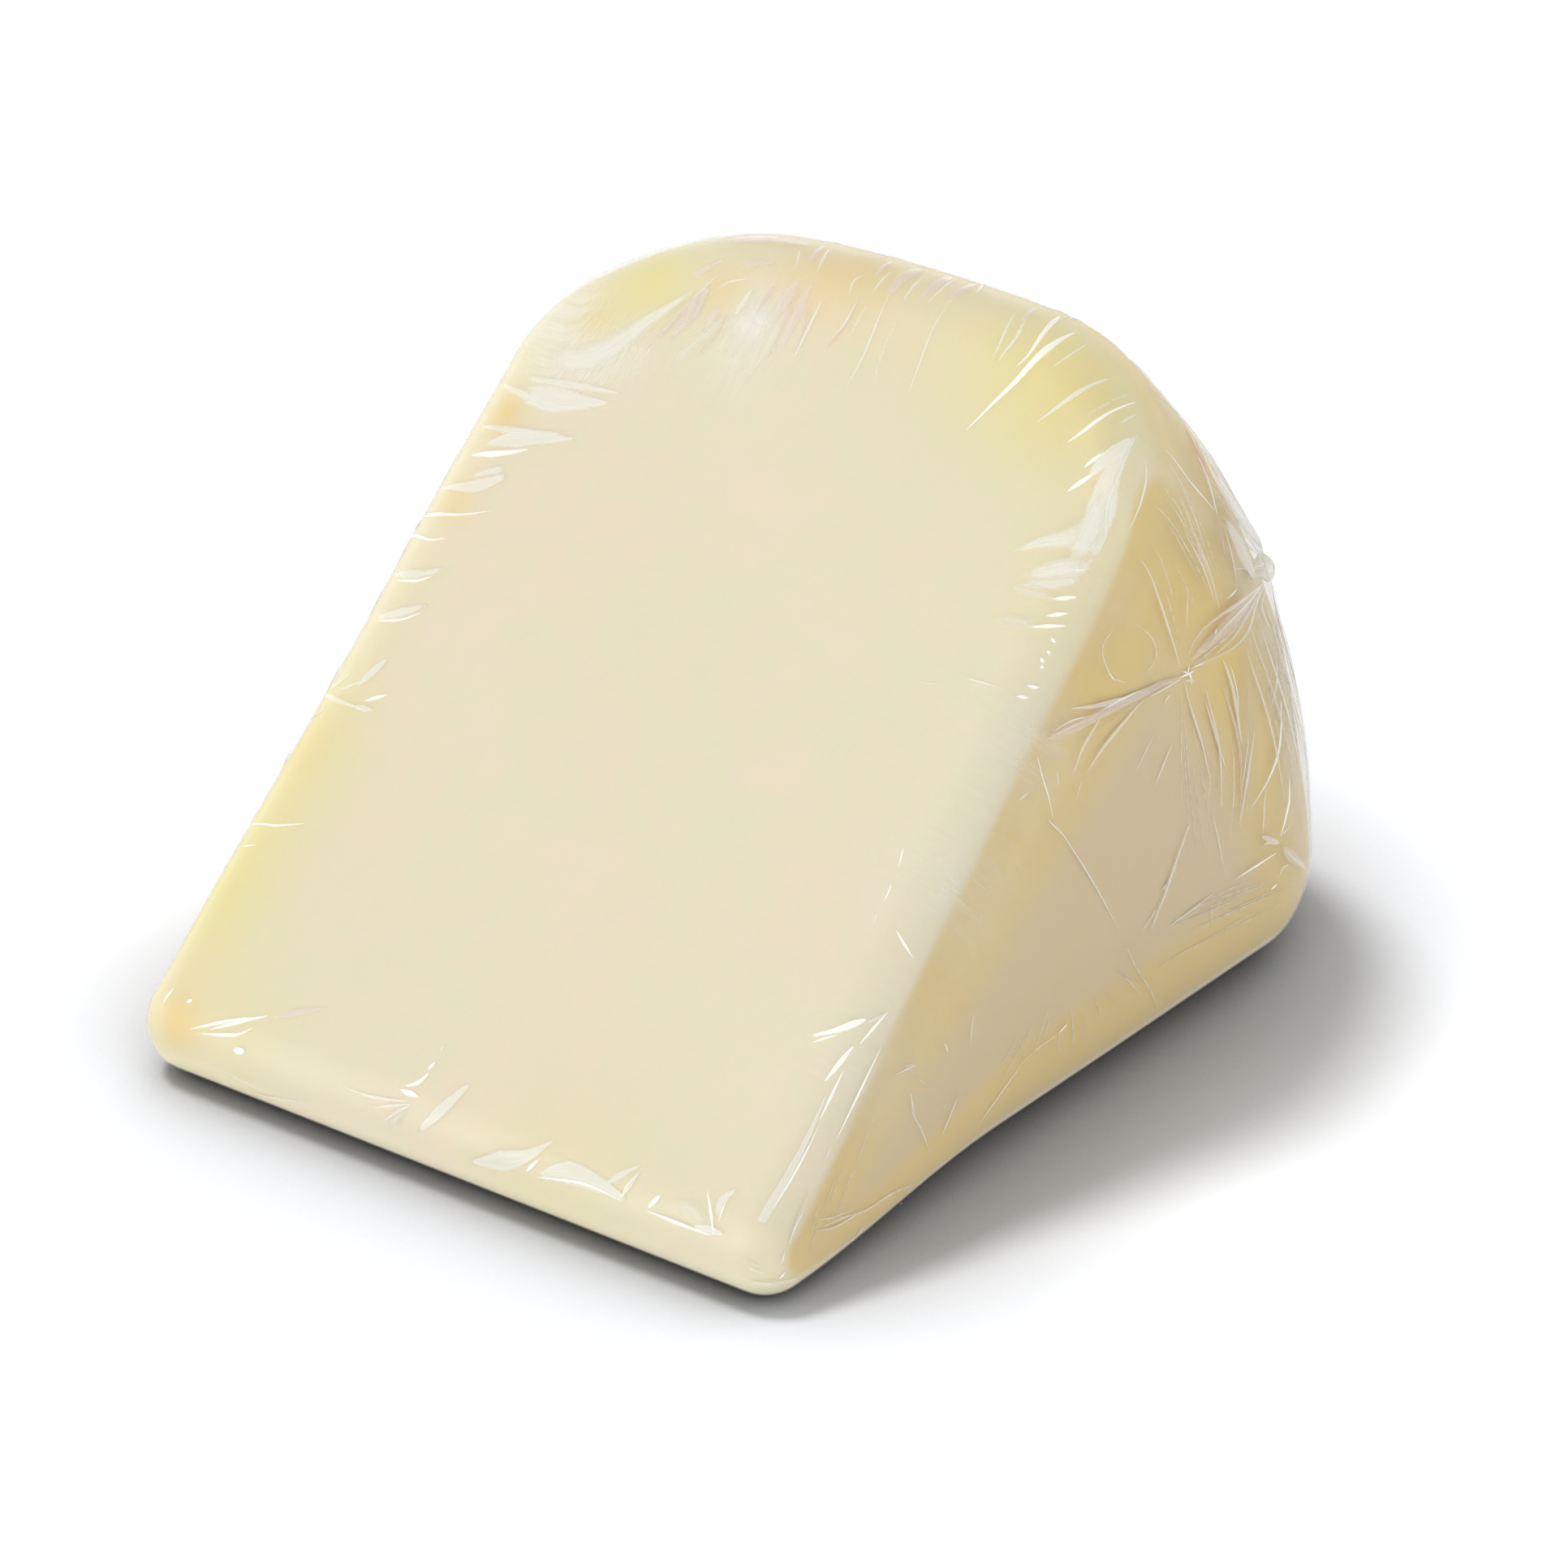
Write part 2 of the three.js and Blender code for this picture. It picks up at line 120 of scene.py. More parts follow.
@dataclass(frozen=True)
class WedgeForm:
    """The skin of the wedge: a sector of a round cheese that lies on one cut.

    A point on it is named by place, which runs from 0 to 6 round the outline of a slice (floor,
    low rim edge, rim, top rim edge, cut and front edge), and across, from -50 to 50 over the
    slices and on to 51 at the middle of a side.
    """

    half_width: float = 50.0
    nose_half_width: float = 48.8
    side_taper: float = 0.03
    rim_radius: float = 126.5
    rim_barrel: float = 1.5
    sector: float = math.radians(42.7)
    nose_round: float = 6.7
    cut_edge_round: float = 9.3
    floor_edge_round: float = 13.4
    rim_edge_round: float = 10.7
    shoulder_width: float = 29.8
    shoulder_drop: float = 21.3
    rim_bulge: float = 6.0
    rim_lean: float = 2.1
    nose_blend: float = 42.0
    end_share: float = 0.9
    uneven: float = 0.14
    uneven_periods: Triple = (41.0, 57.0, 33.0)
    uneven_phase: float = 1.0
    uneven_upright: float = 0.7
    uneven_twist: float = 0.4
    uneven_fade: float = 16.0
    middle_reach: float = 0.6
    middle_turn: float = 0.5
    heart: Triple = (0.0, 0.6, 0.25)
    probe: float = 0.02

    def drop(self, out: Array, depth: float, width: float) -> Array:
        """How far a rounding of this depth and width has fallen."""
        share = np.clip((out - self.half_width + width) / width, 0, 1)
        return depth * (1 - np.sqrt(1 - share * share))

    def width_at(self, y: Array, z: Array) -> tuple[Array, Array]:
        """The wedge's width at a point of the outline.

        Args:
            y: Distance along the floor from the front edge.
            z: Height.

        Returns:
            How far the front edge's rounding is left behind, and the share of the full width.
        """
        back = np.hypot(y, z)
        blend = smoothstep(back, self.nose_round, self.nose_round + self.nose_blend)
        width = self.nose_half_width + (self.half_width - self.nose_half_width) * blend
        taper = 1 - self.side_taper * back / self.half_width
        return blend, width / self.half_width * taper

    def rim(self, angle: Array, radius: Array) -> Array:
        """The rim's distance from the wheel's axis."""
        up = angle / self.sector
        return radius + 4 * self.rim_barrel * up * (1 - up)

    def corner(
        self, offset: Array, base: float, radius: Array, edge: Array
    ) -> tuple[Array, Array, Array]:
        """The centre of the circle that rounds a rim edge.

        Args:
            offset: The centre's distance from the cut.
            base: The cut's angle.
            radius: The rim's radius in this slice.
            edge: The circle's radius.

        Returns:
            The centre's angle, y and z.
        """
        first = base + np.arcsin(offset / (radius - edge))
        reach = self.rim(first, radius) - edge
        angle = base + np.arcsin(offset / reach)
        return angle, reach * np.cos(angle), reach * np.sin(angle)

    def even(self, place: Array, across: Array) -> Array:
        """Points of the skin before its unevenness.

        Args:
            place: Where round the outline.
            across: Where over the slices.

        Returns:
            The points, in the last axis.
        """
        place = np.asarray(place, float) % SECTIONS
        place, across = np.broadcast_arrays(place, np.asarray(across, float))
        over = np.maximum(0, np.abs(across) - self.half_width)
        inner = np.clip(across, -self.half_width, self.half_width)
        out = np.abs(inner)
        share = inner / self.half_width
        edge_depth = self.end_share * self.rim_edge_round
        nose_depth = self.end_share * self.nose_round
        edge = self.rim_edge_round - self.drop(out, edge_depth, edge_depth)
        floor_drop = self.drop(out, self.floor_edge_round, self.floor_edge_round)
        cut_drop = self.drop(out, self.cut_edge_round, self.cut_edge_round)
        nose_drop = self.drop(out, nose_depth, nose_depth)
        radius = self.rim_radius - self.drop(out, self.shoulder_drop, self.shoulder_width)
        radius = radius - self.rim_bulge * share * share + self.rim_lean * share
        up = np.array([-math.sin(self.sector), math.cos(self.sector)])
        nose = self.nose_round
        cut_height = nose * (up[0] + up[1]) + nose
        low = self.corner(floor_drop + edge, 0.0, radius, edge)
        top = self.corner(cut_height - cut_drop - edge, self.sector, radius, edge)
        section = np.floor(place).astype(int)
        u = place - section

        floor_y = nose + (low[1] - nose) * u
        blend, _ = self.width_at(floor_y, np.zeros_like(floor_y))
        floor_z = nose_drop + (floor_drop - nose_drop) * blend
        low_turn = -QUARTER + (low[0] + QUARTER) * u
        rim_turn = low[0] + (top[0] - low[0]) * u
        rim_reach = self.rim(rim_turn, radius)
        top_turn = top[0] + (self.sector + QUARTER - top[0]) * u
        cut_y = top[1] + up[0] * (edge + cut_drop)
        cut_z = top[2] + up[1] * (edge + cut_drop)
        cut_y = cut_y + (nose + up[0] * nose - cut_y) * u
        cut_z = cut_z + (nose + up[1] * nose - cut_z) * u
        blend, _ = self.width_at(cut_y, cut_z)
        fall = nose_drop + (cut_drop - nose_drop) * blend
        nose_turn = self.sector + QUARTER + (2 * QUARTER - self.sector) * u
        nose_reach = nose - nose_drop
        outline = (
            (floor_y, floor_z),
            (low[1] + edge * np.cos(low_turn), low[2] + edge * np.sin(low_turn)),
            (rim_reach * np.cos(rim_turn), rim_reach * np.sin(rim_turn)),
            (top[1] + edge * np.cos(top_turn), top[2] + edge * np.sin(top_turn)),
            (cut_y - up[0] * fall, cut_z - up[1] * fall),
            (nose + nose_reach * np.cos(nose_turn), nose + nose_reach * np.sin(nose_turn)),
        )
        y, z = (np.choose(section, parts) for parts in zip(*outline))
        middle = self.rim_radius * self.middle_reach
        y = y + (middle * math.cos(self.sector * self.middle_turn) - y) * over
        z = z + (middle * math.sin(self.sector * self.middle_turn) - z) * over
        _, width = self.width_at(y, z)
        return np.stack([inner * width, y, z], -1)

    def normal(self, place: Array, across: Array) -> Array:
        """The skin's outward normals.

        Args:
            place: Where round the outline.
            across: Where over the slices.

        Returns:
            Unit normals, in the last axis.
        """
        h = self.probe
        side = np.where(across < 0, -1, 1)
        inner = side * np.minimum(np.abs(across), self.half_width + 1 - 2 * h)
        round_way = self.even(place + h, inner) - self.even(place - h, inner)
        across_way = self.even(place, inner + h) - self.even(place, inner - h)
        normal = unit(np.cross(round_way, across_way))
        outward = self.even(place, inner) - self.rim_radius * np.array(self.heart)
        inside_out = (normal * outward).sum(-1, keepdims=True) < 0
        return normal * np.where(inside_out, -1, 1)

    def skin(self, place: Array, across: Array) -> tuple[Array, Array]:
        """The uneven skin, set down with its origin under the middle of its box.

        Args:
            place: Where round the outline.
            across: Where over the slices.

        Returns:
            Points and unit normals.
        """
        point = self.even(place, across)
        normal = self.normal(place, across)
        a, b, c = (2 * math.pi / period for period in self.uneven_periods)
        x, y, z = point[..., 0], point[..., 1], point[..., 2]
        level = np.sin(a * x + self.uneven_phase) * np.sin(b * y)
        upright = np.sin(c * z + self.uneven_twist * x * a)
        wave = self.uneven * (level + self.uneven_upright * upright) * smoothstep(z, 0, self.uneven_fade)
        point = point + normal * wave[..., None] + np.array([0, SHIFT_Y, 0])
        return point, normal


@dataclass(frozen=True)
class SkinGrid:
    """Rings of places over the skin, closest together where it is round."""

    section_steps: Face = (26, 14, 40, 22, 60, 18)
    flat_steps: int = 14
    shoulder_steps: int = 22
    round_steps: int = 14
    side_rings: int = 12

    def places(self) -> Array:
        """The places of each ring."""
        return np.concatenate([s + np.arange(n) / n for s, n in enumerate(self.section_steps)])

    def across(self, form: WedgeForm) -> Array:
        """The rings' positions over the slices, without the two middles of the sides.

        Args:
            form: The form that the rings lie on.

        Returns:
            Positions from just above -51 to just below 51.
        """
        flat = form.half_width - form.shoulder_width
        edge = form.cut_edge_round
        shoulder_end = math.asin((form.half_width - edge - flat) / form.shoulder_width)
        half = [
            flat * np.arange(self.flat_steps) / self.flat_steps,
            flat
            + form.shoulder_width
            * np.sin(shoulder_end * np.arange(self.shoulder_steps) / self.shoulder_steps),
            form.half_width
            - edge * (1 - np.sin(QUARTER * np.arange(self.round_steps + 1) / self.round_steps)),
            form.half_width + np.arange(1, self.side_rings) / self.side_rings,
        ]
        right = np.concatenate(half)
        return np.concatenate([-right[:0:-1], right])

    def closed(self, form: WedgeForm) -> tuple[Array, Array, list[Face]]:
        """All the grid's points, with the middles of both sides first and last.

        Args:
            form: The form that the grid lies on.

        Returns:
            The place and across of each point, and the faces between them.
        """
        places = self.places()
        rows = self.across(form)
        middle = form.half_width + 1
        place, across = np.meshgrid(places, rows)
        place = np.concatenate([[0.0], place.ravel(), [0.0]])
        across = np.concatenate([[-middle], across.ravel(), [middle]])
        return place, across, closed_faces(len(rows), len(places))


# ---- making meshes


def link(name: str, data: bpy.types.ID) -> Object:
    """Puts something in the scene.

    Args:
        name: The object's name.
        data: Its mesh, lamp or camera.

    Returns:
        The object.
    """
    item = bpy.data.objects.new(name, data)
    bpy.context.scene.collection.objects.link(item)
    return item


def new_object(
    name: str,
    points: Array,
    faces: Sequence[Sequence[int]],
    material: Material | None,
) -> Object:
    """Makes a smooth mesh object in metres, with its place in the mesh.

    Args:
        name: The object's name.
        points: Its vertices, in millimetres.
        faces: Its faces, counterclockwise from outside.
        material: Its one material, if it already has one.

    Returns:
        The linked object.
    """
    mesh = bpy.data.meshes.new(name)
    mesh.from_pydata((points * MM).tolist(), [], [list(f) for f in faces])
    mesh.polygons.foreach_set("use_smooth", [True] * len(mesh.polygons))
    if material is not None:
        mesh.materials.append(material)
    mesh.update()
    return link(name, mesh)


def store(mesh: Mesh, **attributes: Sequence[object]) -> None:
    """Stores numbers or vectors on a mesh's vertices.

    Args:
        mesh: The mesh.
        **attributes: By name, one number or one vector for each vertex.
    """
    for name, values in attributes.items():
        array = np.array(values, np.float32)
        kind, key = ("FLOAT_VECTOR", "vector") if array.ndim == 2 else ("FLOAT", "value")
        mesh.attributes.new(name, kind, "POINT").data.foreach_set(key, array.ravel())


def closed_faces(rings: int, around: int) -> list[Face]:
    """Faces of a closed skin of rings with one point before and one after them.

    Args:
        rings: How many rings there are.
        around: How many points each has.

    Returns:
        The faces, for points in the order first, rings, last.
    """
    faces: list[Face] = []
    last = 1 + rings * around
    for j in range(around):
        k = (j + 1) % around
        faces.append((0, 1 + k, 1 + j))
        for i in range(rings - 1):
            a = 1 + i * around
            b = a + around
            faces.append((a + j, a + k, b + k, b + j))
        tail = last - around
        faces.append((tail + j, tail + k, last))
    return faces


def outward(points: Array, faces: list[Face]) -> list[Face]:
    """Turns the faces of a closed skin to face out.

    Args:
        points: The vertices.
        faces: The faces, all turned one way.

    Returns:
        The same faces, each reversed if they enclosed less than nothing.
    """
    volume = 0.0
    for face in faces:
        a = points[face[0]]
        for b, c in zip(face[1:-1], face[2:]):
            volume += float(np.dot(a, np.cross(points[b], points[c])))
    return faces if volume > 0 else [tuple(reversed(face)) for face in faces]


def attach(piece: Object) -> None:
    """Says what a piece rides on and stands for.

    Args:
        piece: The piece.
    """
    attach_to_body(piece, BODY)
    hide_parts(NODE)
    LOG.info("%s: %d vertices, %d faces", piece.name, len(piece.data.vertices), len(piece.data.polygons))


# ---- shader helpers


@dataclass(frozen=True)
class Span:
    """A range of numbers and what its two ends become."""

    low: float
    high: float
    to_low: float = 0.0
    to_high: float = 1.0


class NodeSheet:
    """A node tree with short calls to add and join nodes."""

    def __init__(self, tree: NodeTree) -> None:
        """Starts on an empty tree."""
        self.tree = tree

    def add(
        self, kind: str, settings: dict[str, object] | None = None, *values: object, **inputs: object
    ) -> Node:
        """Adds a node.

        Args:
            kind: The node's type.
            settings: Its properties.
            *values: Its first inputs in order: sockets to link, or values.
            **inputs: Its inputs by name with _ for a space.

        Returns:
            The node.
        """
        node = self.tree.nodes.new(kind)
        for name, value in (settings or {}).items():
            setattr(node, name, value)
        for socket, value in zip(node.inputs, values):
            self.put(socket, value)
        for name, value in inputs.items():
            self.put(node.inputs[name.replace("_", " ")], value)
        return node

    def put(self, socket: NodeSocket, value: object) -> None:
        """Links or sets one input.

        Args:
            socket: The input.
            value: An output socket to link, or a value.
        """
        if isinstance(value, NodeSocket):
            self.tree.links.new(value, socket)
        else:
            socket.default_value = value

    def math(self, operation: str, *values: object, clamp: bool = False) -> NodeSocket:
        """Works with numbers."""
        return self.add("ShaderNodeMath", {"operation": operation, "use_clamp": clamp}, *values).outputs[0]

    def times(self, first: object, second: object, clamp: bool = False) -> NodeSocket:
        """Multiplies numbers."""
        return self.math("MULTIPLY", first, second, clamp=clamp)

    def vector(self, operation: str, *values: object) -> NodeSocket:
        """Works with vectors."""
        return self.add("ShaderNodeVectorMath", {"operation": operation}, *values).outputs[0]

    def mix(self, factor: object, first: object, second: object) -> NodeSocket:
        """Mixes two colours.

        Args:
            factor: The share of the second.
            first: A colour or socket.
            second: A colour or socket.

        Returns:
            The mixed colour.
        """
        node = self.add("ShaderNodeMix", {"data_type": "RGBA"})
        for index, value in zip(MIX_COLOR_INPUTS, (factor, first, second)):
            self.put(node.inputs[index], value)
        return node.outputs[MIX_COLOR_OUTPUT]

    def blend(self, factor: object, first: Node, second: Node) -> Node:
        """Mixes two shaders."""
        return self.add("ShaderNodeMixShader", None, factor, first.outputs[0], second.outputs[0])

    def remap(self, value: object, span: Span) -> NodeSocket:
        """Maps a number smoothly."""
        ends = (span.low, span.high, span.to_low, span.to_high)
        return self.add("ShaderNodeMapRange", {"interpolation_type": "SMOOTHSTEP"}, value, *ends).outputs[0]

    def attribute(self, name: str, output: str = "Fac") -> NodeSocket:
        """Reads what a mesh stores on its vertices."""
        settings = {"attribute_name": name, "attribute_type": "GEOMETRY"}
        return self.add("ShaderNodeAttribute", settings).outputs[output]

    def where(self) -> NodeSocket:
        """The object's own coordinates."""
        return self.add("ShaderNodeTexCoord").outputs["Object"]

    def noise(
        self, vector: object, scale: object, detail: float = 2.0, roughness: float = 0.5
    ) -> NodeSocket:
        """Adds a noise."""
        inputs = {"Vector": vector, "Scale": scale, "Detail": detail, "Roughness": roughness}
        return self.add("ShaderNodeTexNoise", **inputs).outputs["Fac"]

    def bump(self, strength: float, distance: float, height: object) -> NodeSocket:
        """A normal bumped by a height."""
        node = self.add("ShaderNodeBump", Strength=strength, Distance=distance, Height=height)
        return node.outputs["Normal"]

    def group(self, tree: NodeTree, **inputs: object) -> Node:
        """Adds a group."""
        return self.add("ShaderNodeGroup", {"node_tree": tree}, **inputs)


def new_group(
    name: str, inputs: dict[str, float | Triple], outputs: Sequence[str]
) -> tuple[NodeSheet, Node, Node]:
    """Starts a shader node group.

    Args:
        name: Its name.
        inputs: The defaults of its inputs by name: numbers or vectors.
        outputs: The names of its outputs, which are numbers.

    Returns:
        The sheet to fill, the input node and the output node.
    """
    tree = bpy.data.node_groups.new(name, "ShaderNodeTree")
    for port, value in inputs.items():
        kind = "NodeSocketVector" if isinstance(value, tuple) else "NodeSocketFloat"
        tree.interface.new_socket(name=port, in_out="INPUT", socket_type=kind).default_value = value
    for port in outputs:
        tree.interface.new_socket(name=port, in_out="OUTPUT", socket_type="NodeSocketFloat")
    return NodeSheet(tree), tree.nodes.new("NodeGroupInput"), tree.nodes.new("NodeGroupOutput")


def new_material(name: str) -> tuple[Material, NodeSheet]:
    """Starts an empty node material.

    Args:
        name: Its name.

    Returns:
        The material and its sheet.
    """
    material = bpy.data.materials.new(name)
    material.use_nodes = True
    material.node_tree.nodes.clear()
    return material, NodeSheet(material.node_tree)


def linear(red: int, green: int, blue: int) -> Color:
    """Turns a display colour into the linear one that shaders use.

    Args:
        red: From 0 to 255.
        green: From 0 to 255.
        blue: From 0 to 255.

    Returns:
        The linear colour with alpha 1.
    """

    def one(level: int) -> float:
        share = level / 255
        return share / 12.92 if share <= 0.04045 else ((share + 0.055) / 1.055) ** 2.4

    return one(red), one(green), one(blue), 1.0


# ---- the finishes


def mottle_group() -> NodeTree:
    """Makes the uneven tint of cheese: broad clouds, small mottles and a fine grain.

    Returns:
        The group.
    """
    layers = {"Clouds": (52.0, 2.0), "Mottles": (230.0, 3.0), "Grain": (1500.0, 3.0)}  # scale and detail
    sheet, start, end = new_group("cheese_mottle", {"Vector": (0.0, 0.0, 0.0), "Scale": 1.0}, tuple(layers))
    vector = start.outputs["Vector"]
    for name, (scale, detail) in layers.items():
        size = sheet.times(start.outputs["Scale"], scale)
        sheet.put(end.inputs[name], sheet.noise(vector, size, detail))
    return sheet.tree


@dataclass(frozen=True)
class StreakMask:
    """The mask of one streak of stretched film, where a strip paints white sheen on it: soft ends and
    edges, drawn out lengthwise.
    """

    bite_scale: Triple = (0.75, 0.5, 1.0)
    bite_start: float = 0.42
    bite_depth: float = 2.6
    bite_roughness: float = 0.7
    sharpest: float = 0.02
    fade_share: float = 2.0
    shortest_fade: float = 0.1
    comb_scale: Triple = (0.11, 1.5, 1.0)
    comb_roughness: float = 0.6
    comb_span: Span = Span(0.42, 0.6)
    detail: float = 3.0

    def make(self) -> NodeTree:
        """Makes the group.

        Returns:
            The group.
        """
        inputs = {"Track": (0.0, 0.0, 0.0), "Lay": (0.0, 0.0, 0.0), "Softness": 0.3, "Combing": 0.5}
        sheet, start, end = new_group("film_streak", inputs, ("Mask", "Comb"))
        track, combing = start.outputs["Track"], start.outputs["Combing"]
        soft = start.outputs["Softness"]
        lay = sheet.add("ShaderNodeSeparateXYZ", Vector=start.outputs["Lay"])
        ragged = sheet.vector("MULTIPLY", track, self.bite_scale)
        ragged = sheet.noise(ragged, 1.0, self.detail, self.bite_roughness)
        bite = sheet.times(sheet.math("SUBTRACT", ragged, self.bite_start), self.bite_depth)
        bite = sheet.math("MAXIMUM", sheet.times(bite, combing), 0.0)
        out = sheet.math("ADD", sheet.math("ABSOLUTE", lay.outputs["Y"]), bite)
        edge_width = sheet.math("ADD", soft, self.sharpest)
        mask = sheet.math("DIVIDE", sheet.math("SUBTRACT", 1.0, out), edge_width, clamp=True)
        fade = sheet.math("ADD", sheet.times(soft, self.fade_share), self.shortest_fade)
        ends = []
        for way in (lay.outputs["X"], sheet.math("SUBTRACT", 1.0, lay.outputs["X"])):
            widths = sheet.times(way, lay.outputs["Z"])
            ends.append(sheet.math("DIVIDE", widths, fade, clamp=True))
        mask = sheet.times(mask, sheet.times(*ends))
        broad = sheet.vector("MULTIPLY", track, self.comb_scale)
        comb = sheet.remap(sheet.noise(broad, 1.0, self.detail, self.comb_roughness), self.comb_span)
        gaps = sheet.times(combing, sheet.math("SUBTRACT", 1.0, comb))
        combed = sheet.math("SUBTRACT", 1.0, gaps)
        sheet.put(end.inputs["Mask"], sheet.times(mask, combed, clamp=True))
        sheet.put(end.inputs["Comb"], comb)
        return sheet.tree


@dataclass(frozen=True)
class CheeseFinish:
    """Smooth pale cheese under film, yellower near its edges, with a tan face on the sides, darker than the
    cut, and a painted golden glow near their upper edges.
    """

    pale: Color = linear(211, 205, 177)
    rosy: Color = linear(216, 203, 181)
    yellow: Color = linear(213, 203, 140)
    orange: Color = linear(218, 187, 122)
    rind: Color = linear(195, 176, 140)
    # painted glow: the gold that light shining through the cheese gives near the sides' upper edges
    rind_gold: Color = linear(204, 178, 106)
    scatter: float = 0.35
    scatter_reach: Triple = (1.0, 0.75, 0.4)
    scatter_scale: float = 0.004
    specular: float = 0.25
    cloud_span: Span = Span(0.35, 0.68)
    patch_span: Span = Span(0.36, 0.64)
    cloud_share: float = 0.5
    warm_mottle: float = 0.12
    rough_span: Span = Span(0.3, 0.7, 0.44, 0.56)
    grain: Pair = (0.12, 0.0002)

    def make(self, mottle: NodeTree) -> Material:
        """Builds the material.

        Args:
            mottle: The shared mottle group.

        Returns:
            The material.
        """
        material, sheet = new_material("cheese")
        tint = sheet.group(mottle, Vector=sheet.where(), Scale=1.0).outputs
        clouds = sheet.times(sheet.remap(tint["Clouds"], self.cloud_span), self.cloud_share)
        patches = sheet.remap(tint["Mottles"], self.patch_span)
        blend = sheet.math("ADD", clouds, sheet.times(patches, 1 - self.cloud_share))
        face = sheet.mix(blend, self.pale, self.rosy)
        warm = sheet.times(tint["Mottles"], self.warm_mottle)
        warm = sheet.math("ADD", sheet.attribute("warm"), warm)
        warm = sheet.math("SUBTRACT", warm, self.warm_mottle / 2, clamp=True)
        face = sheet.mix(warm, face, self.yellow)
        face = sheet.mix(sheet.attribute("orange"), face, self.orange)
        flank = sheet.mix(sheet.attribute("gold"), self.rind, self.rind_gold)
        color = sheet.mix(sheet.attribute("side"), face, flank)
        body = sheet.add(
            "ShaderNodeBsdfPrincipled",
            Base_Color=color,
            Roughness=sheet.remap(tint["Mottles"], self.rough_span),
            Subsurface_Weight=self.scatter,
            Subsurface_Radius=self.scatter_reach,
            Subsurface_Scale=self.scatter_scale,
            Specular_IOR_Level=self.specular,
            Normal=sheet.bump(*self.grain, tint["Grain"]),
        )
        sheet.add("ShaderNodeOutputMaterial", Surface=body.outputs[0])
        return material


@dataclass(frozen=True)
class FilmFinish:
    """Clear stretch film: almost invisible, glossy, and whiter where it is folded or stands off; that white
    is in part painted sheen and highlights.
    """

    name: str
    # The veil's colours: white and rose also paint sheen, and glint paints the brightest highlights.
    white: Color = linear(220, 217, 205)
    glint: Color = linear(236, 233, 224)
    rose: Color = linear(204, 166, 153)
    veil: float = 0.02
    gloss: float = 0.5
    most_gloss: float = 0.36
    roughness: float = 0.3
    refraction: float = 1.45
    bump: float = 0.08
    sheet_bump_depth: float = 0.0003
    fold_bump_depth: float = 0.0002
    detail: float = 3.0
    ripple_roughness: float = 0.55
    ripple_span: Span = Span(0.3, 0.7, 0.8, 1.15)
    blush_scale: float = 60.0
    blush_span: Span = Span(0.4, 0.62, 0.0, 0.1)
    glint_span: Span = Span(0.82, 0.95)
    fleck_scale: float = 700.0
    fleck_span: Span = Span(0.35, 0.65, 0.6, 1.3)
    thread_blush_scale: float = 120.0
    thread_blush_span: Span = Span(0.3, 0.7, 0.0, 0.35)

    def shine(self, sheet: NodeSheet, cover: object, color: object, normal: object, gloss: object) -> None:
        """Ends a film material: a veil, a reflection, and nothing for rays that lamps send.

        Args:
            sheet: The material's sheet.
            cover: How much the veil hides.
            color: The veil's colour.
            normal: The bumped normal.
            gloss: How strong the reflection is.
        """
        clear = sheet.add("ShaderNodeBsdfTransparent")
        veil = sheet.add("ShaderNodeBsdfDiffuse", Color=color, Normal=normal)
        body = sheet.blend(cover, clear, veil)
        fresnel = sheet.add("ShaderNodeFresnel", IOR=self.refraction, Normal=normal)
        mirror = sheet.add("ShaderNodeBsdfAnisotropic", Roughness=self.roughness, Normal=normal)
        shown = sheet.math("MINIMUM", sheet.times(fresnel.outputs[0], gloss), self.most_gloss)
        coat = sheet.blend(shown, body, mirror)
        path = sheet.add("ShaderNodeLightPath")
        lit = sheet.blend(path.outputs["Is Shadow Ray"], coat, clear)
        sheet.add("ShaderNodeOutputMaterial", Surface=lit.outputs[0])

    def make_sheet(self) -> Material:
        """Builds the finish of the film itself, whose haze paints white sheen on it.

        Returns:
            The material.
        """
        material, sheet = new_material(self.name)
        ripples = sheet.noise(sheet.attribute("drawn", "Vector"), 1.0, self.detail, self.ripple_roughness)
        patches = sheet.noise(sheet.where(), self.blush_scale)
        cover = sheet.times(sheet.attribute("haze"), sheet.remap(ripples, self.ripple_span))
        cover = sheet.math("ADD", cover, self.veil, clamp=True)
        color = sheet.mix(sheet.remap(patches, self.blush_span), self.white, self.rose)
        normal = sheet.bump(self.bump, self.sheet_bump_depth, ripples)
        self.shine(sheet, cover, color, normal, self.gloss)
        return material

    def make_streaks(self, streak: NodeTree) -> Material:
        """Builds the finish of the sheen streaks and pleats, which paints their white sheen and highlights.

        Args:
            streak: The shared streak group.

        Returns:
            The material.
        """
        material, sheet = new_material(self.name)
        look = sheet.add("ShaderNodeSeparateXYZ", Vector=sheet.attribute("look", "Vector")).outputs
        shape = sheet.group(
            streak,
            Track=sheet.attribute("track", "Vector"),
            Lay=sheet.attribute("lay", "Vector"),
            Softness=look["Z"],
            Combing=sheet.attribute("combing"),
        ).outputs
        cover = sheet.times(shape["Mask"], look["X"], clamp=True)
        color = sheet.mix(look["Y"], self.white, self.rose)
        color = sheet.mix(sheet.remap(look["X"], self.glint_span), color, self.glint)
        normal = sheet.bump(self.bump, self.fold_bump_depth, shape["Comb"])
        self.shine(sheet, cover, color, normal, sheet.times(shape["Mask"], self.gloss))
        return material

    def make_threads(self) -> Material:
        """Builds the finish of the threads and the gathered end; its white veil paints in part the bright
        lines that light draws on them.

        Returns:
            The material.
        """
        material, sheet = new_material(self.name)
        flecks = sheet.noise(sheet.where(), self.fleck_scale, self.detail)
        cover = sheet.times(sheet.remap(flecks, self.fleck_span), self.veil)
        blush = sheet.remap(sheet.noise(sheet.where(), self.thread_blush_scale), self.thread_blush_span)
        normal = sheet.bump(self.bump, self.fold_bump_depth, flecks)
        self.shine(sheet, cover, sheet.mix(blush, self.white, self.rose), normal, self.gloss)
        return material


# ---- the cheese


